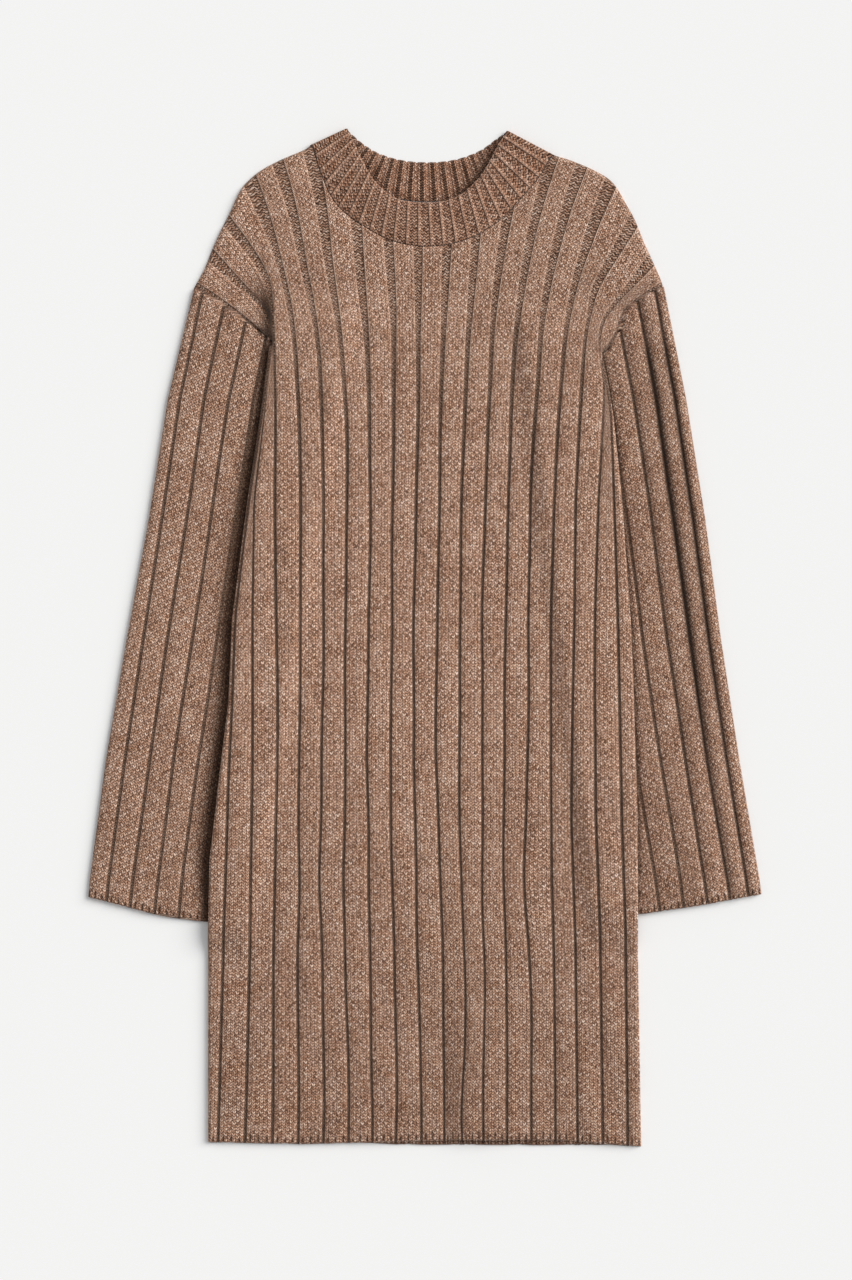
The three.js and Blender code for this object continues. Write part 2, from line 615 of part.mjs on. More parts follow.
function sleeve(name, colour, form) {
  const { side, cuff, sections, grooves } = form;
  const seam = armholeSeam(form);
  const edge = (y, column) => at(sections, "y", y, column);
  const widthAt = (y) => Math.abs(edge(y, "inner") - edge(y, "outer"));
  const inward = -side;
  const half = TOP_INSIDE - LAYER_GAP / 2;
  const { flat, depth, rise, angles } = SLEEVE_FOLD;
  // The upper wall's points: how far inward from the outer fold, and the share of relief there
  const upper = (y) => {
    const marks = [flat, ...grooves.map((d) => edge(y, "first") + d), widthAt(y) - flat];
    return marks.slice(0, -1).flatMap((mark, n) =>
      RIB_FORM.map((part) => ({
        inset: mix(mark, marks[n + 1], part.across),
        cloth: n === 0 && part.across === 0 ? EDGE_RELIEF : part.cloth,
        welt: part.welt,
      })),
    );
  };
  const foldPoint = (angle) => {
    const high = angle > 0 ? GROOVE_WALL + rise : half;
    return { inset: depth * (1 - Math.cos(radians(angle))), z: half + high * Math.sin(radians(angle)) };
  };
  const count = upper(0).length;
  const section = (y, welt) => {
    const width = widthAt(y);
    const top = upper(y).map(({ inset, cloth, welt: short }) => ({
      inset,
      z: TOP_INSIDE + GROOVE_WALL + RIB_RISE * mix(cloth, short, welt),
    }));
    const outerFold = angles.map(foldPoint);
    const innerFold = [...angles].reverse().map(foldPoint);
    const under = UNDER_PLACES.map((t) => ({ inset: width * t, z: 0 }));
    return [...outerFold, ...top, ...innerFold.map((p) => ({ inset: width - p.inset, z: p.z })), ...under];
  };
  const total = section(0, 0).length;
  const xOf = (c, y) => edge(y, "outer") + inward * section(y, 0)[c].inset;
  const rowsOf = (lineX) => {
    const top = meet(lineX, seam, SLEEVE_END.from, SLEEVE_END.to);
    const low = at(cuff, "x", lineX(NEAR_CUFF), "y");
    const start = low + WELT;
    return [low, low + 1.5, start, ...SLEEVE_UP.map((t) => mix(start, top, t))];
  };
  const outerRows = Array.from({ length: total }, (_, c) => rowsOf((y) => xOf(c, y)));
  const outer = outerRows[0].map((_, r) =>
    outerRows.map((rows, c) => {
      const y = rows[r];
      const { inset, z } = section(y, r < 2 ? 1 : 0)[c];
      const dropped = r === 0 && z > half ? mix(z, half, CUFF_DROP) : z;
      return [edge(y, "outer") + inward * inset, y, dropped];
    }),
  );
  // The plain inside, a flat slit between the two layers
  const above = SLIT.map((t) => ({ t, z: TOP_INSIDE }));
  const below = [...SLIT].reverse().map((t) => ({ t, z: UNDER_LAYER }));
  const places = [...above, ...below];
  const slitEnd = (y, fold, way) => edge(y, fold) + way * FOLD_WALL;
  const slitX = (t, y) => mix(slitEnd(y, "outer", inward), slitEnd(y, "inner", -inward), t);
  const innerRows = places.map(({ t }) => rowsOf((y) => slitX(t, y)));
  const inner = innerRows[0].map((_, r) =>
    places.map(({ t, z }, c) => {
      const y = r === innerRows[c].length - 1 ? innerRows[c][r] - SEAM_WALL : innerRows[c][r];
      return [slitX(t, y), y, z];
    }),
  );
  const firstTop = angles.length;
  const firstUnder = firstTop * 2 + count;
  const columnOf = [
    ...SLIT.map((t) => Math.round(mix(firstTop - 1, firstTop + count, t))),
    ...SLIT.map((t) => Math.round(mix(firstUnder, total - 1, t))),
  ];
  return wall(name, colour, outer, inner, indices(outer), columnOf, true);
}

// The neckband: a ring folded at both shoulders, ribbed where it shows
function bandHalf(rows) {
  const [seam, edge] = ["seam", "edge"].map((key) => curve(rows.map((row) => row[key]), 12));
  const middle = seam.map(([x, y], i) => new THREE.Vector2((x + edge[i][0]) / 2, (y + edge[i][1]) / 2));
  const lengths = [0];
  for (let i = 1; i < middle.length; i++)
    lengths.push(lengths[i - 1] + middle[i].distanceTo(middle[i - 1]));
  // The seam point and the edge point at a share of the half ring's length
  return (share) => {
    const goal = share * lengths.at(-1);
    let i = 0;
    while (i < lengths.length - 2 && lengths[i + 1] < goal) i++;
    const t = (goal - lengths[i]) / (lengths[i + 1] - lengths[i]);
    const between = (line) => [mix(line[i][0], line[i + 1][0], t), mix(line[i][1], line[i + 1][1], t)];
    return { seam: between(seam), edge: between(edge) };
  };
}

function neckband() {
  const stations = [];
  for (const face of ["front", "back"]) {
    const steps = 2 * (face === "front" ? BAND.frontRibs : BAND.backRibs);
    const walk = bandHalf(face === "front" ? BAND_FRONT : BAND_BACK);
    // The front runs to the fold at +X, and the back from there to the fold at -X
    const towards = face === "front" ? 1 : -1;
    for (let n = 0; n <= steps; n++) {
      const share = mix(BAND.foldShare, 1 - BAND.foldShare, n / steps);
      stations.push({ ...walk(share), face, share, rib: n % 2 });
    }
    for (const turn of BAND.foldTurns)
      stations.push({ ...walk(1), face: "fold", angle: radians(turn * towards), towards });
  }
  const point = ({ seam, edge, face, share, rib, angle, towards }, v, outside) => {
    const gap = BAND.seamGap / Math.hypot(edge[0] - seam[0], edge[1] - seam[1]);
    const [x, y] = [0, 1].map((k) => mix(seam[k], edge[k], mix(gap, 1, v)));
    const atEdge = v === 1;
    if (face === "front") {
      const lift = BAND.lift * Math.sin(Math.PI * share) ** 0.8 * v ** 1.5;
      const thick = BAND.wall + BAND.rise * rib * (atEdge ? BAND.edgeRise : 1);
      return [x, y, TOP_INSIDE + lift + (outside ? thick * (atEdge ? BAND.edgeWall : 1) : 0)];
    }
    if (face === "back") {
      const thick = BAND.backWall + BAND.backRise * rib * (atEdge ? BAND.edgeRise : 1);
      return [x, y, outside ? 0 : thick];
    }
    const middle = TOP_INSIDE - LAYER_GAP;
    const radius = outside ? middle + 0.1 : BAND.foldInside;
    return [x + towards * (Math.cos(angle) * radius - FOLD_WALL), y, middle + Math.sin(angle) * radius];
  };
  const grid = (outside) => BAND.across.map((v) => stations.map((station) => point(station, v, outside)));
  return wall("neckband", 0x8a6755, grid(true), grid(false), indices(BAND.across), indices(stations), true);
}

const dress = new THREE.Group();
dress.add(
  frontPanel(),
  backPanel(),
  sleeve("sleeve_right", 0x91715e, RIGHT_SLEEVE),
  sleeve("sleeve_left", 0x8b6d5d, LEFT_SLEEVE),
  neckband(),
);
export default dress;
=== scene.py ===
import math

import bpy
import numpy as np
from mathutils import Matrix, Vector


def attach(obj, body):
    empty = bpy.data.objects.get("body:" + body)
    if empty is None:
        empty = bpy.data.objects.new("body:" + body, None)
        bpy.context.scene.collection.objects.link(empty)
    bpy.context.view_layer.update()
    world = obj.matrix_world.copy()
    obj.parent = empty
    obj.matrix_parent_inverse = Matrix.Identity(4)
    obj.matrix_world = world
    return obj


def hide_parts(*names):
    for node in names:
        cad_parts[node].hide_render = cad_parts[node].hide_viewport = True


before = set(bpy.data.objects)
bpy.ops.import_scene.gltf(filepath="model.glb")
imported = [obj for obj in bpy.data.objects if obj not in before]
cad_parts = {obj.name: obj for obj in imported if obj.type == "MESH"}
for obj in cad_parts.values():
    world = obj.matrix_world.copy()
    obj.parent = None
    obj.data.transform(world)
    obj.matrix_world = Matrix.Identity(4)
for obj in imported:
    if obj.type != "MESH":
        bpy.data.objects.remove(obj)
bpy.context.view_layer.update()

# The surface, the light and the camera. The dress lies on a pale table, lit by one large soft light
# low on its right and above it, and by the white room all round. The camera looks straight down.
CAMERA_PLACE = (0.0009, -0.0017, 3.0)
PICTURE_HEIGHT = 1.1098  # of the table, along the picture's long side
SENSOR = 36
camera_data = bpy.data.cameras.new("overhead")
camera_data.sensor_width = SENSOR
camera_data.lens = SENSOR * CAMERA_PLACE[2] / PICTURE_HEIGHT
camera_data.clip_end = 60
camera = bpy.data.objects.new("overhead", camera_data)
camera.location = CAMERA_PLACE
bpy.context.scene.collection.objects.link(camera)
bpy.context.scene.camera = camera

LIGHT_FROM = (0.80, 0.42, 0.60)  # its direction only, as a sun lamp has no place
soft_light = bpy.data.lights.new("soft_light", "SUN")
soft_light.energy = 2.9
soft_light.angle = math.radians(40)
soft_light.color = (1.0, 0.985, 0.96)
light = bpy.data.objects.new("soft_light", soft_light)
from_above = -Vector(LIGHT_FROM)
light.rotation_mode = "QUATERNION"
light.rotation_quaternion = from_above.to_track_quat("-Z", "Y")
bpy.context.scene.collection.objects.link(light)

room = bpy.data.worlds.new("white_room")
room.use_nodes = True
room.node_tree.nodes["Background"].inputs["Color"].default_value = (0.985, 1.0, 1.015, 1)
room.node_tree.nodes["Background"].inputs["Strength"].default_value = 0.475
bpy.context.scene.world = room
bpy.context.scene.view_settings.view_transform = "Standard"

TABLE_HALF = 12.0
table_mesh = bpy.data.meshes.new("table")
corners = [(x * TABLE_HALF, y * TABLE_HALF, 0) for x, y in ((-1, -1), (1, -1), (1, 1), (-1, 1))]
table_mesh.from_pydata(corners, [], [(0, 1, 2, 3)])
table_top = bpy.data.objects.new("table", table_mesh)
table_paint = bpy.data.materials.new("pale_table")
table_paint.use_nodes = True
paint = table_paint.node_tree.nodes["Principled BSDF"]
paint.inputs["Base Color"].default_value = (0.92, 0.92, 0.92, 1)
paint.inputs["Roughness"].default_value = 0.9
paint.inputs["Specular IOR Level"].default_value = 0.0
table_mesh.materials.append(table_paint)
bpy.context.scene.collection.objects.link(table_top)

# The back panel. It is knitted in one piece in a wide rib, six wales of knit to two of purl, with
# a short ribbed welt at the hem. It lies face down on the table, its sides over the sleeves.
# Its sizes are in millimetres, as all sizes from here on, and the wearer's right side is at -X.
MM = 0.001
GROOVES = 18  # the purl lines between the ribs, numbered from the wearer's right
MIDDLE = (GROOVES - 1) / 2
WALES = 8  # from the middle of one purl line to the next
KNIT_WALE = 2.95  # one wale's width
COURSE = 2.45  # one course's height
TICK_WALES = 2  # from one of the welt's short purl lines to the next
SCALLOP = 0.8  # how far the hem is drawn up at each of them
UNDER_LAYER = 2.2  # the inside of the lower layer, above what it lies on
SLEEVE_STACK = 5.8  # how high the back lies on the sleeves
BACK_INSET = 3.0  # the back's sides and shoulders lie this far inside the front's folds
SHOULDER_INSET = 3.8
# The wales at which a rib's columns of points lie, close together where the rib turns down to the purl,
# and those between an edge and the outermost purl line
WALE_PLACES = np.array([0, 0.5, 0.85, 1.1, 1.4, 2, 2.9, 4, 5.1, 6, 6.6, 6.9, 7.15, 7.5])
BESIDE_WALES = np.array([4.4, 2.6, 1.8, 1.3, 0.9, 0.5])


def rows_of(names, *rows):
    return {name: np.array(values, float) for name, values in zip(names.split(), zip(*rows))}


BODY_RIBS = rows_of(
    "y centre pitch",
    (-441, -1.5, 20.8),
    (-262, -0.4, 20.4),
    (-123, -0.4, 19.9),
    (15, 0.4, 19.7),
    (120, 2.2, 19.9),
    (189, 3.6, 20.3),
    (260, 5.2, 21.2),
    (295, 6.0, 22.3),
    (330, 6.5, 24.0),
    (365, 7.0, 26.0),
    (400, 7.0, 28.5),
    (430, 7.0, 31.0),
)
# Half a purl line's width as a share of its rib: the ribs draw together, and part on the yoke
PURL_SHARE = rows_of(
    "y half",
    (-441, 0.050),
    (60, 0.053),
    (150, 0.060),
    (206, 0.076),
    (260, 0.095),
    (284, 0.122),
    (305, 0.142),
    (340, 0.158),
    (400, 0.185),
)
PURL_WIDTH = 20
MIDDLE_FOLD = {"top": -100, "bottom": -400, "shift": 8.7, "from": -8.5, "crest": 0.5, "to": 2.5}
# Where the rib lines stray to one side, as (line, y, half width in lines, half length, shift)
STRAYS = [
    (4.6, 310, 1.9, 110, -3.7),
    (5, 314, 1.4, 52, -3.3),
    (12.9, 350, 1.5, 90, -4.0),
    (3.8, -420, 3.0, 110, 3.2),
    (3, -215, 0.7, 40, 2.2),
    (13, -205, 0.7, 40, -2.2),
    (10, -410, 1.2, 40, -2.4),
    (12.5, -215, 1.2, 80, -3.2),
    (4.5, -210, 1.2, 35, -1.9),
    (10.5, -297, 1.0, 50, 1.9),
    (2.2, -60, 1.0, 70, 1.2),
]
RIGHT_SIDE = rows_of(
    "y edge first second third",
    (-441, -188, -179.5, -157.5, -134.5),
    (-262, -188, -174.5, -151.5, -131.5),
    (-192, -186.5, -172, -150.5, -130),
    (-123, -178.5, -170, -149.5, -128.5),
    (-54, -170, -166.5, -149.5, -128.5),
    (16, -167, -164, -149.5, -129),
    (120, -153.5, -151.5, -148, -130),
    (189, -143, -142, -139.5, -129.5),
    (250, -135, -134, -132.5, -130.5),
    (261, -134, -133, -132, -130.5),
    (262.5, -138.5, -136, -132.3, -130.8),
    (277, -160, -157, -134.8, -132),
    (290, -177.5, -174, -139, -133),
    (304, -201, -197, -158, -134),
    (316, -221, -217, -169, -137),
    (327, -240, -235, -180, -144),
    (340, -262, -257, -192.5, -153),
    (377, -330, -325, -227, -185),
)
LEFT_SIDE = rows_of(
    "y edge first second third",
    (-441, 187.5, 175.5, 154, 132),
    (-262, 184.5, 173.5, 151.5, 130),
    (-158, 184, 170, 147.5, 126.5),
    (-54, 181, 168, 146.5, 127.5),
    (16, 178, 166.5, 146.5, 129),
    (120, 170.5, 163, 150, 130),
    (189, 163.5, 160.5, 154.5, 133.5),
    (221, 158.5, 157.5, 156, 135.5),
    (247, 153, 152, 151, 137.5),
    (248.5, 157, 154.5, 151, 137.6),
    (262, 169, 166, 151, 139),
    (272, 172, 168.5, 151.5, 141.5),
    (285, 174.5, 172, 160, 143.5),
    (298, 192, 188.5, 172.5, 145),
    (304, 205, 201, 178, 146.5),
    (327, 250, 244, 195, 160.5),
    (340, 275, 268, 205, 168.5),
    (377, 345, 335, 231, 191),
)
RIGHT_SHOULDER = [(-201, 302), (-191, 320), (-184.5, 336.5), (-176.5, 354), (-168, 371), (-160, 388),
                  (-152.5, 397), (-141, 406), (-125, 414.5), (-105, 423), (-97.5, 427.5)]
LEFT_SHOULDER = [(110, 419), (125, 414.5), (145.5, 406), (160.5, 397), (167.5, 388.5), (172.5, 379.5),
                 (182, 362.5), (189, 345), (197, 327.5), (204.5, 310.5), (207, 302)]
BACK_NECK_SEAM = [(-97.5, 427.5), (-77, 406), (-54.5, 392), (-26, 381), (4.5, 378), (34.5, 381.5),
                  (65, 391), (89.5, 404), (110, 419)]
FRONT_NECK_SEAM = [(-97.5, 427.5), (-91, 404), (-77.5, 376), (-54, 357), (-26, 343), (4.5, 339),
                   (34.5, 344.5), (61.5, 359), (82.5, 380), (100.5, 401.5), (110, 419)]
NECK_FROM = RIGHT_SHOULDER[-1][0]
NECK_TO = LEFT_SHOULDER[0][0]
BACK_HEM = rows_of("x y", (-190, -434), (-60, -437), (-20, -439), (150, -439.5), (190, -437))
# Where each sleeve's hidden fold runs, which the body side lies over
RIGHT_SLEEVE = rows_of(
    "y outer inner first",
    (-249, -293.5, -181, 15.6),
    (-210, -290.5, -174.5, 16.5),
    (-106, -276.5, -157, 16.5),
    (-1, -258.5, -139.5, 14.5),
    (102, -239.5, -122.5, 11.5),
    (206, -223, -105.5, 10.5),
    (301, -200.5, -89.5, 8),
)
LEFT_SLEEVE = rows_of(
    "y outer inner first",
    (-241, 294, 176, 12),
    (-210, 290, 172, 12),
    (-106, 272.5, 159, 11.5),
    (-1, 256.5, 146, 11),
    (102, 243, 133, 11),
    (206, 226.5, 120, 10),
    (304, 207, 107.5, 8.5),
)
OVER_RIGHT_SLEEVE = {"corner": 261, "fade": 310, "fold_from": 265, "fold_to": 289}
OVER_LEFT_SLEEVE = {"corner": 247, "fade": 298, "fold_from": 264, "fold_to": 284}
SLEEVE_RAMP = (-42, -22)
BELOW_CUFF = (-276, -251)


def mix(a, b, t):
    return a + (b - a) * t


def quarter_round(share):
    """The height of a rounded edge at a share of its radius, and 1 further in."""
    return np.sqrt(1 - np.clip(1 - share, 0, 1) ** 2)


def soft(value, start, end):
    t = np.clip((value - start) / (end - start), 0, 1)
    return t * t * (3 - 2 * t)


def read(rows, name, at, key="y"):
    """A column of a table at any place, carried on in a straight line past the table's ends."""
    k, v = rows[key], rows[name]
    below = (v[1] - v[0]) / (k[1] - k[0]) * np.minimum(at - k[0], 0)
    above = (v[-1] - v[-2]) / (k[-1] - k[-2]) * np.maximum(at - k[-1], 0)
    return np.interp(at, k, v) + below + above


def curve(knots, per_span):
    """A smooth line through the knots, as rows of x and y."""
    p = np.array(knots, float)
    p = np.vstack([2 * p[0] - p[1], p, 2 * p[-1] - p[-2]])
    t = np.linspace(0, 1, per_span, endpoint=False)[:, None]
    parts = []
    for a, b, c, d in zip(p, p[1:], p[2:], p[3:]):
        ab, bc, cd = (math.sqrt(np.linalg.norm(q - r)) for q, r in ((b, a), (c, b), (d, c)))
        start = ((b - a) / ab - (c - a) / (ab + bc) + (c - b) / bc) * bc
        end = ((c - b) / bc - (d - b) / (bc + cd) + (d - c) / cd) * bc
        squared = 3 * (c - b) - 2 * start - end
        cubed = 2 * (b - c) + start + end
        parts.append(b + start * t + squared * t**2 + cubed * t**3)
    return np.vstack([*parts, p[-2:-1]])


def top_outline(neck_seam):
    line = np.vstack([curve(RIGHT_SHOULDER, 6), curve(neck_seam, 12)[1:], curve(LEFT_SHOULDER, 6)[1:]])
    return {"x": line[:, 0], "y": line[:, 1]}


FRONT_OUTLINE = top_outline(FRONT_NECK_SEAM)
BACK_OUTLINE = top_outline(BACK_NECK_SEAM)


def rib_line(n, y):
    """The x of purl line n at a height. Lines -1 and 18 are the panel's edges."""
    stray = sum(
        shift * np.exp(-(((n - line) / wide) ** 2) - ((y - height) / long) ** 2)
        for line, height, wide, long, shift in STRAYS
    )
    for rows, from_side in ((RIGHT_SIDE, n + 1), (LEFT_SIDE, GROOVES - n)):
        if from_side < 4:
            name = ("edge", "first", "second", "third")[from_side]
            reach = np.array([-10, -5, 0, 5, 10]) * (from_side > 0)
            return np.mean([read(rows, name, y + k) for k in reach], 0) + stray * (from_side > 1)
    place = n - MIDDLE
    fold = MIDDLE_FOLD
    rise = (place - fold["from"]) / (fold["crest"] - fold["from"])
    fall = np.clip((fold["to"] - place) / (fold["to"] - fold["crest"]), 0, 1)
    share = rise if place < fold["crest"] else fall
    deep = np.clip((fold["top"] - y) / (fold["top"] - fold["bottom"]), 0, 1)
    near = [y - 14, y, y + 14]
    centre, pitch = (np.mean([read(BODY_RIBS, name, h) for h in near], 0) for name in ("centre", "pitch"))
    wander = 0.5 * np.sin(y / 47 + 2.1 * n) + 0.25 * np.sin(y / 21 + 3.7 * n)
    return centre + place * pitch + fold["shift"] * share * deep + wander * (3 < n < GROOVES - 4) + stray


def rib_x(g, y):
    """The x of a place between two purl lines, such as 2.5 for half way from line 2 to line 3."""
    g, y = np.broadcast_arrays(g, y)
    lines = np.stack([rib_line(n, y) for n in range(-1, GROOVES + 1)])
    low = np.clip(np.floor(g).astype(int), -1, GROOVES - 1)
    a, b = (np.take_along_axis(lines, (low + k)[None], 0)[0] for k in (1, 2))
    return mix(a, b, g - low)


def meet(line_x, outline, low, high):
    """The height at which each rib line runs into the outline above it."""
    for _ in range(30):
        y = (low + high) / 2
        inside = read(outline, "y", line_x(y), key="x") > y
        low, high = np.where(inside, y, low), np.where(inside, high, y)
    return low


def over_sleeve(left, name):
    return np.where(left, OVER_LEFT_SLEEVE[name], OVER_RIGHT_SLEEVE[name])


def raised(g, y):
    """How far the armhole fold lifts a rib line: above the armhole the cloth outside the fold lies low."""
    left = g > MIDDLE
    corner = over_sleeve(left, "corner")
    lines = [
        1 - soft(y, corner, corner + 1.5),
        1 - soft(y, corner, corner + 4),
        1 - soft(y, over_sleeve(left, "fold_from"), over_sleeve(left, "fold_to")),
        1,
    ]
    place = np.clip(np.where(left, GROOVES - 1 - g, g) + 1, 0, 3)
    return sum(line * np.clip(1 - abs(place - k), 0, 1) for k, line in enumerate(lines))


def lie(g, x, y, stack):
    """How high a body panel lies above the table, on the sleeves at its two sides."""
    left = x > 0
    hidden = np.where(left, read(LEFT_SLEEVE, "inner", y), read(RIGHT_SLEEVE, "inner", y))
    across = soft((x - hidden) * np.where(left, 1, -1), *SLEEVE_RAMP)
    up = 1 - soft(y, over_sleeve(left, "corner") + 1, over_sleeve(left, "fade"))
    return stack * across * up * soft(y, *BELOW_CUFF) * raised(g, y)


def corner_of(g):
    return mix(OVER_RIGHT_SLEEVE["corner"], OVER_LEFT_SLEEVE["corner"], np.clip(g / (GROOVES - 1), 0, 1))


def folded(g, y):
    """Below the armhole the side is a fold, and above it the edge lies flat against the sleeve."""
    return 1 - soft(y, corner_of(g) - 6, corner_of(g))


def groove(distance, width):
    """The share of a rib's height that is left at a distance from the purl line."""
    return 1 - np.exp(-((np.abs(distance) / width) ** 1.7))


def share_of(wale, purl):
    """How far from one purl line to the next a wale lies, given the purl line's half width."""
    from_line = np.minimum(wale, WALES - wale)
    share = np.where(from_line < 1, from_line * purl, purl + (from_line - 1) * (1 - 2 * purl) / (WALES - 2))
    return np.where(wale > WALES / 2, 1 - share, share)


def wales_away(distance, purl):
    """The number of wales in a distance from the middle of a purl line."""
    return np.where(distance < purl, distance / purl, 1 + (distance - purl) / KNIT_WALE)


def from_purl(wale):
    """The wales from a place to the nearest purl line."""
    return np.abs(wale - WALES * np.round(wale / WALES))


def panel_columns(y, turn, inset):
    """The x and the wale of each column of a panel at the heights y: on each side the columns of the
    edge and those up to the first purl line, and the ribs between."""
    side = len(turn) + len(BESIDE_WALES)
    rib = np.append(np.repeat(np.arange(GROOVES - 1), len(WALE_PLACES)), GROOVES - 2)
    wale_in = np.append(np.tile(WALE_PLACES, GROOVES - 1), WALES)
    count = 2 * side + len(rib)
    order = np.arange(count)
    y = np.broadcast_to(y, (*np.shape(y)[:-1], count))
    low = rib_x(-1, y) + inset * folded(-1, y)
    high = rib_x(GROOVES, y) - inset * folded(GROOVES, y)
    first, last = rib_x(0, y), rib_x(GROOVES - 1, y)
    purl = read(PURL_SHARE, "half", y)
    ribs = slice(side, count - side)
    away = np.zeros(count)
    away[len(turn):side] = BESIDE_WALES
    away[count - side:count - len(turn)] = BESIDE_WALES[::-1]
    width = np.where(away < 1, away * purl * PURL_WIDTH, purl * PURL_WIDTH + (away - 1) * KNIT_WALE)
    x = np.where(order < side, first - width, last + width)
    x[..., ribs] = rib_x(rib + share_of(wale_in, purl[..., ribs]), y[..., ribs])
    nearest = turn[-1] + 0.03 * (1 + np.minimum(order, count - 1 - order) - len(turn))
    x = np.clip(x, low + nearest, high - nearest)
    x[..., :len(turn)] = low[..., :len(turn)] + turn
    x[..., count - len(turn):] = high[..., count - len(turn):] - turn[::-1]
    beyond = wales_away(x - last, purl * PURL_WIDTH) + (GROOVES - 1) * WALES
    wale = np.where(order < side, -wales_away(first - x, purl * PURL_WIDTH), beyond)
    wale[..., ribs] = rib * WALES + wale_in
    return x, wale


def panel_numbers(turn):
    """Each column's place in ribs, from -1 at one edge to 18 at the other."""
    side = len(turn) + len(BESIDE_WALES)
    ribs = (np.arange(GROOVES - 1)[:, None] + WALE_PLACES / WALES).ravel()
    beside = np.linspace(-1, 0, side, endpoint=False)
    return np.concatenate([beside, ribs, [GROOVES - 1], GROOVES - 1 - beside[::-1]])


def from_tick(wale):
    """The distance to the nearest of the welt's four short purl lines in each rib, in millimetres."""
    part = wale / TICK_WALES
    return np.abs(part - np.round(part)) * TICK_WALES * KNIT_WALE


def welt_ticks(above, across):
    """How deep the welt's short purl lines are at a height above its edge. They end unevenly."""
    length = 7.0 + 1.4 * np.sin(across / 3.1) + 0.9 * np.sin(across / 7.7 + 1)
    return soft(above, -0.1, 0.5) * (1 - soft(above, length - 2.5, length))


def drawn_up(above, wale):
    """How far the edge is drawn up at each short purl line, which makes it a little scalloped."""
    return SCALLOP * (1 - groove(from_tick(wale), 1.3)) * (1 - soft(above, 0, 3.5))


WELT_ROWS = np.array([0, 0.4, 1.0, 1.8, 2.7, 3.6, 4.5, 5.5, 6.5, 7.6, 9, 11.5])
TOP_ROWS = np.array([4.6, 3.6, 2.7, 1.9, 1.2, 0.7, 0.3, 0.08, 0])
ROWS_BELOW_ARMHOLE = 205
ROWS_ABOVE_ARMHOLE = 48


def panel_rows(hem, corner, top):
    """The heights of a panel's rows on each rib line: welt, body, armhole, shoulder."""
    below = np.linspace(0, 1, ROWS_BELOW_ARMHOLE)[1:, None]
    above = np.linspace(0, 1, ROWS_ABOVE_ARMHOLE)[:, None]
    return np.vstack([
        hem + WELT_ROWS[:, None],
        mix(hem + WELT_ROWS[-1], corner - 6, below),
        corner + np.array([-4, -2, -0.8, 0, 0.7])[:, None],
        mix(corner + 1.5, top - 5.5, above),
        top - TOP_ROWS[:, None],
    ])


def number_at(g, x, low, high, first, last):
    """The rib number of a point by its place, between an edge and the outermost purl line."""
    right = (x - low) / np.maximum(first - low, 1e-6) - 1
    left = GROOVES - (high - x) / np.maximum(high - last, 1e-6)
    return np.where(g < 0, right, np.where(g > GROOVES - 1, left, g))


def stitch_rows(points):
    """The number of courses from the hem to each point, along its rib line."""
    steps = np.linalg.norm(np.diff(points, axis=0), axis=2)
    return np.vstack([np.zeros(steps.shape[1]), np.cumsum(steps, 0)]) / COURSE


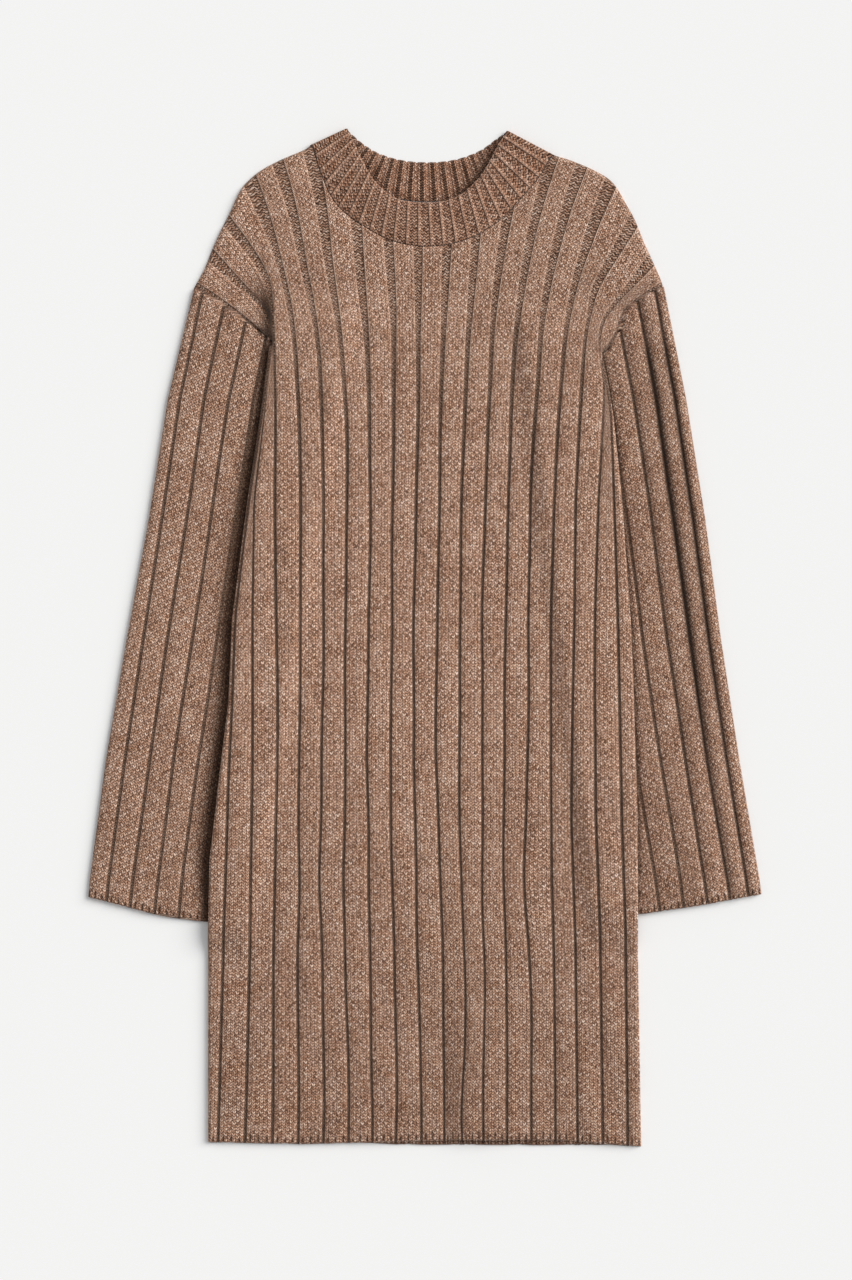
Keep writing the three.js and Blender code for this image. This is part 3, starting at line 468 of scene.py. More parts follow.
def knit_wall(name, outer, inner, column_of, outer_marks, inner_marks, ring_wales=0):
    """A closed wall of knit between two grids of points with the same rows, each a (row, column, xyz)
    array. column_of says which outer column each inner one lies behind. Marks are an array of
    (wale, course, open, welt, shade) at each point. A ring closes round its columns."""
    rows, columns = outer.shape[:2]
    inner_columns = inner.shape[1]
    index = np.arange(rows * columns).reshape(rows, columns)
    inside = rows * columns + np.arange(rows * inner_columns).reshape(rows, inner_columns)
    points = np.vstack([outer.reshape(-1, 3), inner.reshape(-1, 3)])
    marks = np.vstack([outer_marks.reshape(-1, 5), inner_marks.reshape(-1, 5)])
    faces, wraps = [], []

    def sheet(grid, flip):
        after = np.roll(grid, -1, 1) if ring_wales else grid[:, 1:]
        here = grid if ring_wales else grid[:, :-1]
        quads = np.stack([here[:-1], after[:-1], after[1:], here[1:]], -1)
        wrapped = np.zeros(quads.shape, bool)
        if ring_wales:
            wrapped[:, -1, 1:3] = True
        if flip:
            quads, wrapped = quads[..., ::-1], wrapped[..., ::-1]
        faces.extend(quads.reshape(-1, 4).tolist())
        wraps.extend(wrapped.reshape(-1, 4).tolist())

    sheet(index, False)
    sheet(inside, True)

    def join(line, near, far, flip):
        middle = (len(line) + 1) // 2
        fans = [(a, near, b) for a, b in zip(line[:middle], line[1:middle + 1])][: max(middle - 1, 0)]
        fans += [(line[middle - 1], near, far)]
        fans += [(a, far, b) for a, b in zip(line[middle - 1:-1], line[middle:])]
        for fan in fans:
            faces.append(list(reversed(fan)) if flip else list(fan))
            wraps.append([False] * 3)

    ends = [*column_of[1:], columns + column_of[0]] if ring_wales else column_of[1:]
    for i, (start, end) in enumerate(zip(column_of, ends)):
        places = [k % columns for k in range(start, end + 1)]
        following = (i + 1) % inner_columns
        for row, flip in ((0, False), (rows - 1, True)):
            near, far = int(inside[row, i]), int(inside[row, following])
            join([int(index[row, k]) for k in places], near, far, flip)
    if not ring_wales:
        for column, flip in ((0, True), (-1, False)):
            for r in range(rows - 1):
                a, b = int(index[r, column]), int(index[r + 1, column])
                c, d = int(inside[r, column]), int(inside[r + 1, column])
                faces.append([b, d, c, a] if flip else [a, c, d, b])
                wraps.append([False] * 4)

    mesh = bpy.data.meshes.new(name)
    mesh.from_pydata((points * MM).tolist(), [], faces)
    flat = np.fromiter((v for face in faces for v in face), int)
    turned = np.fromiter((w for wrap in wraps for w in wrap), bool)
    stitches = marks[flat, :2].copy()
    stitches[turned, 0] += ring_wales
    layer = mesh.uv_layers.new(name="stitches")
    layer.uv.foreach_set("vector", stitches.astype(np.float32).ravel())
    attribute = mesh.attributes.new("knit", "FLOAT_VECTOR", "POINT")
    attribute.data.foreach_set("vector", marks[:, 2:].astype(np.float32).ravel())
    a, b, c = (points[[f[k] for f in faces]] for k in (0, 1, 2))
    outward = np.einsum("ij,ij->i", a, np.cross(b, c)).sum() > 0
    if not outward:
        mesh.flip_normals()
    mesh.polygons.foreach_set("use_smooth", [True] * len(mesh.polygons))
    mesh.set_sharp_from_angle(angle=math.radians(70))
    piece = bpy.data.objects.new(name, mesh)
    bpy.context.scene.collection.objects.link(piece)
    return piece


class Knitter:
    """Adds nodes to a material's node tree and joins them up."""

    def __init__(self, name):
        self.material = bpy.data.materials.new(name)
        self.material.use_nodes = True
        self.nodes = self.material.node_tree.nodes
        self.links = self.material.node_tree.links
        self.shader = self.nodes["Principled BSDF"]

    def feed(self, socket, value):
        if isinstance(value, bpy.types.NodeSocket):
            self.links.new(value, socket)
        else:
            socket.default_value = value

    def sum(self, operation, *values):
        node = self.nodes.new("ShaderNodeMath")
        node.operation = operation
        for socket, value in zip(node.inputs, values):
            self.feed(socket, value)
        return node.outputs[0]

    def pair(self, x, y, z=0.0):
        node = self.nodes.new("ShaderNodeCombineXYZ")
        for socket, value in zip(node.inputs, (x, y, z)):
            self.feed(socket, value)
        return node.outputs[0]

    def parts(self, vector):
        node = self.nodes.new("ShaderNodeSeparateXYZ")
        self.links.new(vector, node.inputs[0])
        return node.outputs

    def noise(self, x, y, z, detail=2.0, roughness=0.5):
        node = self.nodes.new("ShaderNodeTexNoise")
        self.links.new(self.pair(x, y, z), node.inputs["Vector"])
        node.inputs["Scale"].default_value = 1.0
        node.inputs["Detail"].default_value = detail
        node.inputs["Roughness"].default_value = roughness
        return node.outputs["Fac"]

    def blend(self, kind, share, a, b):
        node = self.nodes.new("ShaderNodeMix")
        node.data_type = "RGBA"
        node.blend_type = kind
        self.feed(node.inputs[0], share)
        self.feed(node.inputs[6], a)
        self.feed(node.inputs[7], b)
        return node.outputs[2]

    def range(self, value, low, high, to_low=0.0, to_high=1.0, smooth=True):
        node = self.nodes.new("ShaderNodeMapRange")
        node.interpolation_type = "SMOOTHSTEP" if smooth else "LINEAR"
        for socket, given in zip(node.inputs, (value, low, high, to_low, to_high)):
            self.feed(socket, given)
        return node.outputs[0]

    def ramp(self, value, stops):
        node = self.nodes.new("ShaderNodeValToRGB")
        self.links.new(value, node.inputs[0])
        band = node.color_ramp
        while len(band.elements) < len(stops):
            band.elements.new(0.5)
        for element, (place, colour) in zip(band.elements, stops):
            element.position = place
            element.color = (*colour, 1)
        return node.outputs[0]


BEIGE_WOOL = [
    (0.00, (0.105, 0.052, 0.031)),
    (0.28, (0.300, 0.165, 0.106)),
    (0.50, (0.510, 0.318, 0.220)),
    (0.72, (0.690, 0.485, 0.365)),
    (1.00, (0.940, 0.800, 0.680)),
]
RUSSET_WOOL = [
    (0.00, (0.098, 0.040, 0.019)),
    (0.28, (0.280, 0.137, 0.076)),
    (0.50, (0.490, 0.275, 0.170)),
    (0.72, (0.660, 0.430, 0.295)),
    (1.00, (0.920, 0.720, 0.560)),
]


def melange_knit(name, wales, depth=(1, 1, 1), seed=0.0, recess_shade=0.48, purl_half=1.0):
    """Heather brown wool in stocking stitch: each stitch a V of two legs, each leg with a shade of its
    own, and painted shade in the purl lines between the ribs. The map counts wales across and courses up."""
    k = Knitter(name)
    k.nodes.new("ShaderNodeUVMap").uv_map = "stitches"
    u, v, _ = k.parts(k.nodes["UV Map"].outputs[0])
    given = k.nodes.new("ShaderNodeAttribute")
    given.attribute_name = "knit"
    opened, welt, shade = k.parts(given.outputs["Vector"])
    wide = k.sum("MAXIMUM", opened, 0.0)

    def drift(per_wale, per_course, place, detail=2, roughness=0.5):
        """Noise that changes about so many times in a wale and in a course."""
        place_u, place_v = k.sum("MULTIPLY", u, per_wale), k.sum("MULTIPLY", v, per_course)
        return k.noise(place_u, place_v, seed + place, detail, roughness)

    # Small unevenness of the stitches
    across = k.sum("MULTIPLY_ADD", k.noise(u, v, seed + 3.1, 1), 0.20, k.sum("SUBTRACT", u, 0.10))
    along = k.sum("MULTIPLY_ADD", k.noise(u, v, seed + 7.7, 1), 0.36, k.sum("SUBTRACT", v, 0.18))

    # The two legs of each V rise outwards from its middle
    from_middle = k.sum("MULTIPLY", k.sum("ABSOLUTE", k.sum("SUBTRACT", k.sum("FRACT", across), 0.5)), 2.0)
    leg_course = k.sum("MULTIPLY_ADD", from_middle, -0.7, along)
    leg_phase = k.sum("SINE", k.sum("MULTIPLY", k.sum("FRACT", leg_course), math.pi))
    leg_width = k.sum("SINE", k.sum("MULTIPLY_ADD", from_middle, 0.86 * math.pi, 0.14 * math.pi))
    leg = k.sum("MULTIPLY", k.sum("POWER", leg_phase, 0.8), k.sum("POWER", leg_width, 0.6))

    # The purl bumps lie in wavy rows across the line between two ribs
    in_rib = k.sum("MULTIPLY", k.sum("FRACT", k.sum("MULTIPLY_ADD", u, 1 / wales, 0.5)), wales)
    beside = k.sum("SUBTRACT", in_rib, wales / 2)
    reach = k.sum("MULTIPLY_ADD", k.sum("MINIMUM", opened, 0.0), 0.6, 1.0)
    from_line = k.sum("DIVIDE", k.sum("ABSOLUTE", beside), k.sum("MULTIPLY", reach, purl_half))
    in_purl = k.range(from_line, k.sum("MULTIPLY_ADD", wide, -0.1, 0.95), 1.25, 1.0, 0.0)
    wave = k.sum("MULTIPLY_ADD", k.sum("SINE", k.sum("MULTIPLY", u, 2 * math.pi)), 0.24, along)
    purl = k.sum("POWER", k.sum("SINE", k.sum("MULTIPLY", k.sum("FRACT", wave), math.pi)), 1.3)
    height = k.sum("MULTIPLY_ADD", in_purl, k.sum("SUBTRACT", purl, leg), leg)

    # The wool: a light and a dark strand twisted together come up in turn from stitch to stitch, each
    # leg has a shade of its own, the yarn changes along a course, and broad patches drift
    half_wale = k.sum("FLOOR", k.sum("MULTIPLY", across, 2.0))
    stitch = k.nodes.new("ShaderNodeTexWhiteNoise")
    k.links.new(k.pair(half_wale, k.sum("FLOOR", leg_course), seed), stitch.inputs["Vector"])
    turn = k.sum("ADD", k.sum("FLOOR", across), k.sum("FLOOR", leg_course))
    turn = k.sum("MULTIPLY_ADD", k.sum("FRACT", k.sum("MULTIPLY", turn, 0.5)), 4.0, -1.0)
    strand = k.sum("MULTIPLY", turn, k.range(drift(0.9, 0.7, 23.0, 1), 0.3, 0.7, 0.04, 0.17))
    strand = k.sum("MULTIPLY", strand, k.sum("MULTIPLY_ADD", k.sum("MULTIPLY", in_purl, wide), 0.6, 1.0))
    fibre = drift(4.4, 3.6, 1.3, 2, 0.6)
    streak = drift(0.5, 0.8, 5.9, 2, 0.55)
    patch = drift(0.13, 0.12, 11.3)
    tone = k.sum("ADD", strand, 0.5)
    for part, amount in ((stitch.outputs["Value"], 0.40), (fibre, 2.0), (streak, 0.30), (patch, 0.30)):
        tone = k.sum("ADD", tone, k.sum("MULTIPLY_ADD", part, amount, -amount / 2))
    warm = k.range(drift(0.3, 0.5, 17.0, 2, 0.6), 0.32, 0.68)
    wool = k.blend("MIX", warm, k.ramp(tone, BEIGE_WOOL), k.ramp(tone, RUSSET_WOOL))

    # Less light reaches the yarn between the legs and in the purl lines, and the outermost leg beside
    # an open line gets a thin painted highlight where its edge catches the light
    cover = k.range(height, 0.0, 0.8, 0.2, 1.24)
    wool = k.blend("MULTIPLY", 1.0, wool, k.pair(cover, cover, cover))
    edge_highlight = k.range(k.sum("ABSOLUTE", k.sum("SUBTRACT", beside, purl_half + 0.2)), 0.04, 0.22, 1.0, 0.0)
    twin_highlight = k.range(k.sum("ABSOLUTE", k.sum("ADD", beside, purl_half + 0.2)), 0.04, 0.22, 0.35, 0.0)
    highlight_variation = k.range(drift(0.4, 0.15, 29.0, 1), 0.35, 0.6, 0.35, 0.8)
    edge_highlight = k.sum("MULTIPLY", k.sum("ADD", edge_highlight, twin_highlight), k.sum("MULTIPLY", wide, highlight_variation))
    wool = k.blend("MIX", edge_highlight, wool, (0.84, 0.64, 0.50, 1))
    # Painted shade: the purl lines, their wall on the side away from the light, the welt's short purl lines
    # and the places the shade marks give are darkened
    painted_shade = k.sum("MULTIPLY", in_purl, k.sum("MULTIPLY_ADD", wide, recess_shade - 0.95, 0.95))
    painted_shade = k.sum("MULTIPLY", painted_shade, k.sum("MULTIPLY_ADD", purl, -0.16, 1.0))
    wall = k.range(k.sum("ABSOLUTE", k.sum("SUBTRACT", beside, purl_half - 0.1)), 0.04, 0.3, 0.72, 0.0)
    painted_shade = k.sum("MAXIMUM", painted_shade, k.sum("MULTIPLY", wall, wide))
    tick = k.sum("FRACT", k.sum("MULTIPLY_ADD", u, 1 / TICK_WALES, 0.5))
    tick = k.range(k.sum("ABSOLUTE", k.sum("SUBTRACT", tick, 0.5)), 0.08, 0.26, 1.0, 0.0)
    painted_shade = k.sum("MAXIMUM", painted_shade, k.sum("MULTIPLY", k.sum("MULTIPLY", tick, welt), 0.82))
    painted_shade = k.sum("MAXIMUM", painted_shade, shade)
    wool = k.blend("MULTIPLY", painted_shade, wool, (0.12, 0.085, 0.055, 1))
    wool = k.blend("MULTIPLY", 1.0, wool, (*depth, 1))
    k.links.new(wool, k.shader.inputs["Base Color"])

    bump = k.nodes.new("ShaderNodeBump")
    bump.inputs["Strength"].default_value = 0.9
    bump.inputs["Distance"].default_value = 0.0008
    k.links.new(k.sum("MULTIPLY_ADD", fibre, 0.5, height), bump.inputs["Height"])
    k.links.new(bump.outputs[0], k.shader.inputs["Normal"])
    k.shader.inputs["Roughness"].default_value = 0.92
    k.shader.inputs["Specular IOR Level"].default_value = 0.18
    k.shader.inputs["Sheen Weight"].default_value = 0.25
    k.shader.inputs["Sheen Roughness"].default_value = 0.45
    k.shader.inputs["Sheen Tint"].default_value = (0.95, 0.82, 0.72, 1)
    return k.material


body_wool = melange_knit("heather_rib_knit", WALES, depth=(1.0, 0.94, 0.945))

BACK_TURN = np.array([0.0])
back_numbers = panel_numbers(BACK_TURN)
back_count = len(back_numbers)


def back_line(y):
    return panel_columns(y, BACK_TURN, BACK_INSET)[0]


LOW, HIGH = 255.0, 445.0  # between which every rib ends at the shoulder or the neck
HEM_HEIGHT = -438.0  # about which the hem lies
back_top = meet(back_line, BACK_OUTLINE, np.full(back_count, LOW), np.full(back_count, HIGH))
back_top_x = back_line(back_top)
from_neck = np.minimum(back_top_x - NECK_FROM, NECK_TO - back_top_x)
back_top = back_top - mix(SHOULDER_INSET, 0.6, soft(from_neck, 1, 6))
back_hem = read(BACK_HEM, "y", back_line(np.full(back_count, HEM_HEIGHT)), key="x")
back_y = panel_rows(back_hem, corner_of(back_numbers), back_top)
back_across, back_wale = panel_columns(back_y, BACK_TURN, BACK_INSET)
back_ends = (rib_x(-1, back_y), rib_x(GROOVES, back_y), rib_x(0, back_y), rib_x(GROOVES - 1, back_y))
back_lie = lie(number_at(back_numbers, back_across, *back_ends), back_across, back_y, SLEEVE_STACK)
valley = 1.0 * (1 - soft(from_purl(back_wale), 0.3, 1.8))
above_hem = back_y - back_hem
hem_round = quarter_round(above_hem / 1.1)
back_edge_y = back_y + drawn_up(above_hem, back_wale)
under = np.stack([back_across, back_edge_y, back_lie + valley + 0.7 * (1 - hem_round)], -1)
edge_columns = len(BACK_TURN) + len(BESIDE_WALES)
inner_places = [0, 3, *range(edge_columns, back_count - edge_columns, 5), back_count - 4, back_count - 1]
top_side_z = back_lie + UNDER_LAYER - 0.5 * (1 - hem_round)
top_side = np.stack([back_across, back_edge_y, top_side_z], -1)[:, inner_places]
courses = stitch_rows(under)
ticks = welt_ticks(above_hem, back_across)
yoke = soft(read(PURL_SHARE, "half", back_y), 0.055, 0.13)
hem_shade = 0.52 * (1 - soft(above_hem, 2, 7))
back_marks = np.stack([back_wale, courses, yoke, ticks, hem_shade], -1)
back = knit_wall("back_panel", under, top_side, inner_places, back_marks, back_marks[:, inner_places])
back.data.materials.append(body_wool)
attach(back, "root")
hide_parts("back")

# The front panel. It is the back's twin with a lower neckline, lying face up over it, its sides
# turned round in a soft fold. The low armholes gather its outer ribs, and its hem lifts in the middle.
FRONT_STACK = SLEEVE_STACK + 0.4
TOP_INSIDE = 2.5  # the inside of the upper layer, above what the lower one lies on
FOLD_RADIUS = 3.2
GROOVE_WALL = 1.1  # the wall in the purl lines
RIB_RISE = 1.75  # how far the ribs rise over them, and how far on the yoke, where they open
YOKE_RISE = 1.0
CROWN = 0.35  # the ribs' own roundness
FRONT_HEM = rows_of(
    "x y", (-190, -437), (-108, -438.5), (-22, -437), (30, -435), (116, -435.5), (155, -438.5), (190, -441))
EDGE_TURN = np.array([0, 0.12, 0.35, 0.7, 1.2, 1.8, 2.5])
front_numbers = panel_numbers(EDGE_TURN)
front_count = len(front_numbers)


def front_x(y):
    return panel_columns(y, EDGE_TURN, 0)[0]


front_top = meet(front_x, FRONT_OUTLINE, np.full(front_count, LOW), np.full(front_count, HIGH))
front_top_x = front_x(front_top)
turned_down = soft(np.maximum(NECK_FROM - front_top_x, front_top_x - NECK_TO), 0, 4)
front_hem = read(FRONT_HEM, "y", front_x(np.full(front_count, HEM_HEIGHT)), key="x")
front_y = panel_rows(front_hem, corner_of(front_numbers), front_top)
front_across, front_wale = panel_columns(front_y, EDGE_TURN, 0)
low_edge, high_edge = rib_x(-1, front_y), rib_x(GROOVES, front_y)
first_line, last_line = rib_x(0, front_y), rib_x(GROOVES - 1, front_y)
front_place = number_at(front_numbers, front_across, low_edge, high_edge, first_line, last_line)
front_lie = lie(front_place, front_across, front_y, FRONT_STACK)

whole = np.clip(np.floor(front_numbers), 0, GROOVES - 2)
rib_width = rib_x(whole + 1, front_y) - rib_x(whole, front_y)
rib_width = np.where(front_numbers < 0, 2.2 * (first_line - low_edge), rib_width)
rib_width = np.where(front_numbers > GROOVES - 1, 2.2 * (high_edge - last_line), rib_width)
openness = soft(read(PURL_SHARE, "half", front_y), 0.055, 0.13)
away = from_purl(front_wale)
rib_form = mix(soft(away, 0.1, 2.1), soft(away, 0.7, 1.35), openness)
crown = CROWN * (1 - (1 - away / (WALES / 2)) ** 2)
above_hem = front_y - front_hem
ticks = welt_ticks(above_hem - 0.9, front_across)
tick_form = 1 - 0.6 * ticks * (1 - groove(from_tick(front_wale), 0.8))
room_for_rib = np.clip((rib_width - 4) / 11, 0, 1)
rib_rise = mix(RIB_RISE, YOKE_RISE, openness)
relief = (rib_rise * rib_form * tick_form + crown) * room_for_rib

# Soft lifts and dips, as (x, y, half width, half length, height): the long fold up the middle of
# the skirt with its steep side to the left, and a few shallow waves
LIFTS = [
    (42, -430, 26, 190, 2.6),
    (44, -330, 30, 170, 1.0),
    (-60, -200, 45, 160, 0.7),
    (95, -60, 40, 190, 0.8),
    (-95, 60, 34, 150, 0.6),
    (30, 180, 50, 120, 0.6),
    (-35, 300, 40, 60, 0.7),
    (110, 330, 26, 60, 0.8),
]
lifts = 0
for x, y, half_width, half_length, height in LIFTS:
    across_it = (front_across - x) / half_width
    steep = np.where(across_it < 0, across_it * 1.5, across_it * 0.7)
    lifts = lifts + height * np.exp(-steep**2 - ((front_y - y) / half_length) ** 2)
ripple = 0.16 * np.sin(front_y / 31 + front_numbers * 1.9) * np.sin(front_y / 73 + front_numbers * 0.7)
to_edge = np.minimum(front_across - low_edge, high_edge - front_across)
inland = soft(to_edge, 4, 30) * soft(front_top - front_y, 3, 25)
side_fold = folded(front_numbers, front_y)
seam_dip = 0.24 * np.exp(-to_edge / 1.6) * (1 - side_fold)
side = mix(1, quarter_round(to_edge / FOLD_RADIUS), side_fold) - seam_dip
top_round = quarter_round((front_top - front_y) * 0.9 / FOLD_RADIUS)
neck_dip = 0.2 * np.exp(-(front_top - front_y) / 1.5)
shoulder = mix(1 - neck_dip, top_round, turned_down)
hem_round = 0.5 + 0.5 * quarter_round(above_hem / 1.8)
full_height = TOP_INSIDE + GROOVE_WALL + relief * soft(above_hem, -1.5, 2.5)
front_height = full_height * side * shoulder * hem_round
front_z = front_lie + front_height + (lifts + ripple) * inland
front_outer = np.stack([front_across, front_y + drawn_up(above_hem, front_wale), front_z], -1)

edge_columns = len(EDGE_TURN) + len(BESIDE_WALES)
inner_columns = [0, 4, 8, *range(edge_columns, front_count - edge_columns, 5)]
inner_columns += [front_count - 9, front_count - 5, front_count - 1]
SIDE_WALL = 2.3  # the wall in the folds at the sides
wall_inset = np.clip(SIDE_WALL - to_edge, 0, SIDE_WALL) * side_fold * np.sign(MIDDLE - front_numbers)
inner_y = np.minimum(front_outer[..., 1], front_top - mix(1.9, 2.6, turned_down))
inner_z = front_lie + lifts * inland + TOP_INSIDE * np.where(to_edge < 0.05, 1 - side_fold, 1)
inner_z = np.where(front_y > front_top - 0.05, mix(inner_z, front_lie, turned_down), inner_z)
front_inner = np.stack([front_across + wall_inset, inner_y, inner_z], -1)[:, inner_columns]
courses = stitch_rows(front_outer)
# The skirt lies a little further from the light, and the crease over the right armhole is in shade
front_shade = 0.18 * (1 - soft(front_y, -380, 0))
into_crease = (rib_x(2, front_y) - 1.2 - front_across) / mix(5.5, 11, soft(front_y, 262, 322))
crease = np.exp(-np.abs(into_crease - 0.3) ** 2.6) * soft(front_y, 240, 258) * (1 - soft(front_y, 284, 330))
front_shade = np.maximum(front_shade, 0.95 * crease * (into_crease > -0.6))
# The rib on the steep side of the middle fold leans away from the light
leaning = np.exp(-(((front_wale / WALES - 9.5) / 0.62) ** 6)) * (1 - soft(front_y, -400, -215))
front_shade = np.maximum(front_shade, 0.34 * leaning)
front_marks = np.stack([front_wale, courses, openness, ticks, front_shade], -1)
inner_marks = front_marks[:, inner_columns]
front = knit_wall("front_panel", front_outer, front_inner, inner_columns, front_marks, inner_marks)
front.data.materials.append(body_wool)
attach(front, "root")
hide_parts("front")

# The sleeves. Each is a tube of the same rib, linked to the dropped shoulder, with a ribbed welt at the
# cuff. The right one lies flat, and the left one lies with its outer ribs bunched in deep furrows.
SLEEVE_ROWS = 170
SEAM_GAP = (0.45, 0.35)  # from the front's edge, across and down
SLEEVE_FOLD = 3.0
SLEEVE_PURL = 0.06  # half a purl line's width, as a share of its rib and in millimetres
PURL_HALF = 1.27
SLEEVES = {
    "right_sleeve": {
        "side": -1,
        "node": "sleeve_right",
        "form": RIGHT_SLEEVE,
        "hidden": (-95, 250),
        "cuff": rows_of("x y", (-292, -224.5), (-237.5, -238.5), (-185.5, -246), (-175, -247)),
        "grooves": [0, 21.2, 42.4, 63.6, 84.8],
        "bulges": [0.3, 0.7, 0.5, 0.3, 0.2, 0],
        "depths": [1.0, 1.1, 0.9, 1.0, 1.1],
        "press": (13, 2.6),
        "shade": (13, 0.95),
        "sleeve_shade": 0.07,
        "cuff_shade": (0.05, 0.05),
    },
    "left_sleeve": {
        "side": 1,
        "node": "sleeve_left",
        "form": LEFT_SLEEVE,
        "hidden": (110, 247),
        "cuff": rows_of("x y", (172, -240.5), (185.5, -239.5), (241, -231.5), (293, -222)),
        "grooves": [0, 16.4, 35.8, 57, 78.5],
        "bulges": [0.6, 2.6, 1.6, 0.7, 0.3, 0],
        "depths": [2.1, 2.3, 1.4, 1.0, 1.0],
        "press": (7, 1.6),
        "shade": (3.5, 0.8),
        "sleeve_shade": 0.13,
        "cuff_shade": (-0.06, 0.10),
    },
}
FOLD_ANGLES = np.radians([-75, -50, -25, 0, 25, 50, 75])


def armhole_seam(side, hidden):
    """The front's edge above the armhole, moved off by the seam's gap, and on under the body side."""
    g = -1 if side < 0 else GROOVES
    corner = float(corner_of(g))
    y = np.linspace(corner + 1, 320, 60)
    x = rib_x(g, y)
    top = read(FRONT_OUTLINE, "y", x, key="x")
    x, y = x[y <= top], y[y <= top]
    line = np.array([hidden, (float(rib_x(g, corner)), corner), *zip(x, y), (x[-1] + 8 * side, y[-1] + 5)])
    line = line + [side * SEAM_GAP[0], -SEAM_GAP[1]]
    line = line[np.argsort(line[:, 0])]
    return {"x": line[:, 0], "y": line[:, 1]}


for name, made in SLEEVES.items():
    side, form = made["side"], made["form"]
    seam = armhole_seam(side, made["hidden"])
    half = TOP_INSIDE - 0.15
    grooves = made["grooves"]
    ribs = len(grooves) + 1

    def sleeve_width(y):
        return np.abs(read(form, "inner", y) - read(form, "outer", y))

    def line_inset(n, y):
        """How far rib line n is from the outer fold. The first and the last lie just inside the folds."""
        if n == 0:
            return SLEEVE_FOLD + 0 * y
        if n == ribs:
            return sleeve_width(y) - SLEEVE_FOLD
        return read(form, "first", y) + grooves[n - 1] + 0.35 * np.sin(y / 37 + 2.3 * n) * (n > 1)

    # A section's columns: the outer fold, the ribs above, the hidden fold, the ribs below
    columns = [("outer", angle) for angle in FOLD_ANGLES]
    columns += [("top", n + float(share_of(w, SLEEVE_PURL))) for n in range(ribs) for w in WALE_PLACES]
    columns += [("top", float(ribs))]
    columns += [("inner", angle) for angle in FOLD_ANGLES[::-1]]
    columns += [("under", place) for place in np.linspace(ribs - 0.05, 0.05, ribs * 9)]
    total = len(columns)
    first_top = len(FOLD_ANGLES)
    top_count = ribs * len(WALE_PLACES) + 1
    first_under = first_top * 2 + top_count

    def sleeve_inset(y):
        """How far each column is from the outer fold at the heights y."""
        y = np.broadcast_to(y, (*np.shape(y)[:-1], total))
        lines = np.stack([line_inset(n, y) for n in range(ribs + 1)])
        inset = np.zeros(y.shape)
        for c, (kind, value) in enumerate(columns):
            if kind == "outer":
                inset[..., c] = SLEEVE_FOLD * (1 - math.cos(value))
            elif kind == "inner":
                inset[..., c] = sleeve_width(y[..., c]) - SLEEVE_FOLD * (1 - math.cos(value))
            else:
                n = min(int(value), ribs - 1)
                inset[..., c] = mix(lines[n][..., c], lines[n + 1][..., c], value - n)
        return inset

    def sleeve_x(y):
        return read(form, "outer", y) - side * sleeve_inset(y)

    top = meet(sleeve_x, seam, np.full(total, 180.0), np.full(total, 320.0))
    low = read(made["cuff"], "y", sleeve_x(np.full(total, -235.0)), key="x")
    y = np.vstack([
        low + WELT_ROWS[:, None],
        mix(low + WELT_ROWS[-1], top - 5.5, np.linspace(0, 1, SLEEVE_ROWS)[1:, None]),
        top - TOP_ROWS[:, None],
    ])
    x = sleeve_x(y)
    inset = sleeve_inset(y)
    lines = np.stack([line_inset(n, y) for n in range(ribs + 1)])

    # Wales are counted from the first purl line to both folds, and on round the underside
    tube_wales = 2 * ribs * WALES
    wale = np.zeros(y.shape)
    for c, (kind, value) in enumerate(columns[:first_under]):
        round_fold = SLEEVE_FOLD * (FOLD_ANGLES[-1] - value) - SLEEVE_FOLD * (1 - math.cos(FOLD_ANGLES[-1]))
        to_first, from_last = lines[1][:, c] - inset[:, c], inset[:, c] - lines[ribs - 1][:, c]
        if kind == "outer":
            wale[:, c] = WALES - wales_away(lines[1][:, c] + round_fold, PURL_HALF)
        elif kind == "inner":
            beside = sleeve_width(y[:, c]) - lines[ribs - 1][:, c] + round_fold
            wale[:, c] = (ribs - 1) * WALES + wales_away(beside, PURL_HALF)
        elif value < 1:
            wale[:, c] = WALES - wales_away(to_first, PURL_HALF)
        elif value > ribs - 1:
            wale[:, c] = (ribs - 1) * WALES + wales_away(from_last, PURL_HALF)
        else:
            wale[:, c] = int(value) * WALES + WALE_PLACES[(c - first_top) % len(WALE_PLACES)]
    below = np.linspace(0, 1, total - first_under + 2)[1:-1]
    wale[:, first_under:] = mix(wale[:, [first_under - 1]], wale[:, [0]] + tube_wales, below)

    z = np.zeros(y.shape)
    furrow_shade = np.zeros(y.shape)
    above_cuff = y - low
    ticks = welt_ticks(above_cuff, x)
    tick_form = 1 - 0.7 * ticks * (1 - groove(from_tick(wale), 0.8))
    hollows = 1 - soft(from_purl(wale), 0.3, 1.8)
    for c, (kind, value) in enumerate(columns):
        if kind == "under":
            z[:, c] = hollows[:, c]
            continue
        if kind != "top":
            z[:, c] = half + (GROOVE_WALL + 1.35 if value > 0 else half) * math.sin(value)
            continue
        rib = min(int(value), ribs - 1)
        part = value - rib
        width = lines[rib + 1][:, c] - lines[rib][:, c]
        cut = 0
        for line, distance in ((rib, part * width), (rib + 1, (1 - part) * width)):
            if 0 < line < ribs:
                deep = made["depths"][line - 1]
                cut = cut + deep * (1 - groove(distance, 1.4 + 0.6 * deep))
                # Painted shade along the deep furrows between the bunched ribs
                set_in = soft(top[c] - y[:, c], 4, 60) * mix(0.4, 1, soft(y[:, c], -200, 20))
                furrow_shade[:, c] += max(deep - 1.1, 0) * (1 - groove(distance, mix(1.2, 2.6, set_in))) * set_in
        fade = mix(0.5, 1, soft(y[:, c], -225, -150) * (1 - 0.6 * soft(y[:, c], 150, 280)))
        bulge = made["bulges"][rib] * math.sin(math.pi * part) ** 0.8 * fade
        relief = RIB_RISE * np.clip(1 - 0.6 * cut, -0.3, 1) * tick_form[:, c]
        z[:, c] = TOP_INSIDE + GROOVE_WALL + relief + CROWN * (1 - (2 * part - 1) ** 2) + bulge

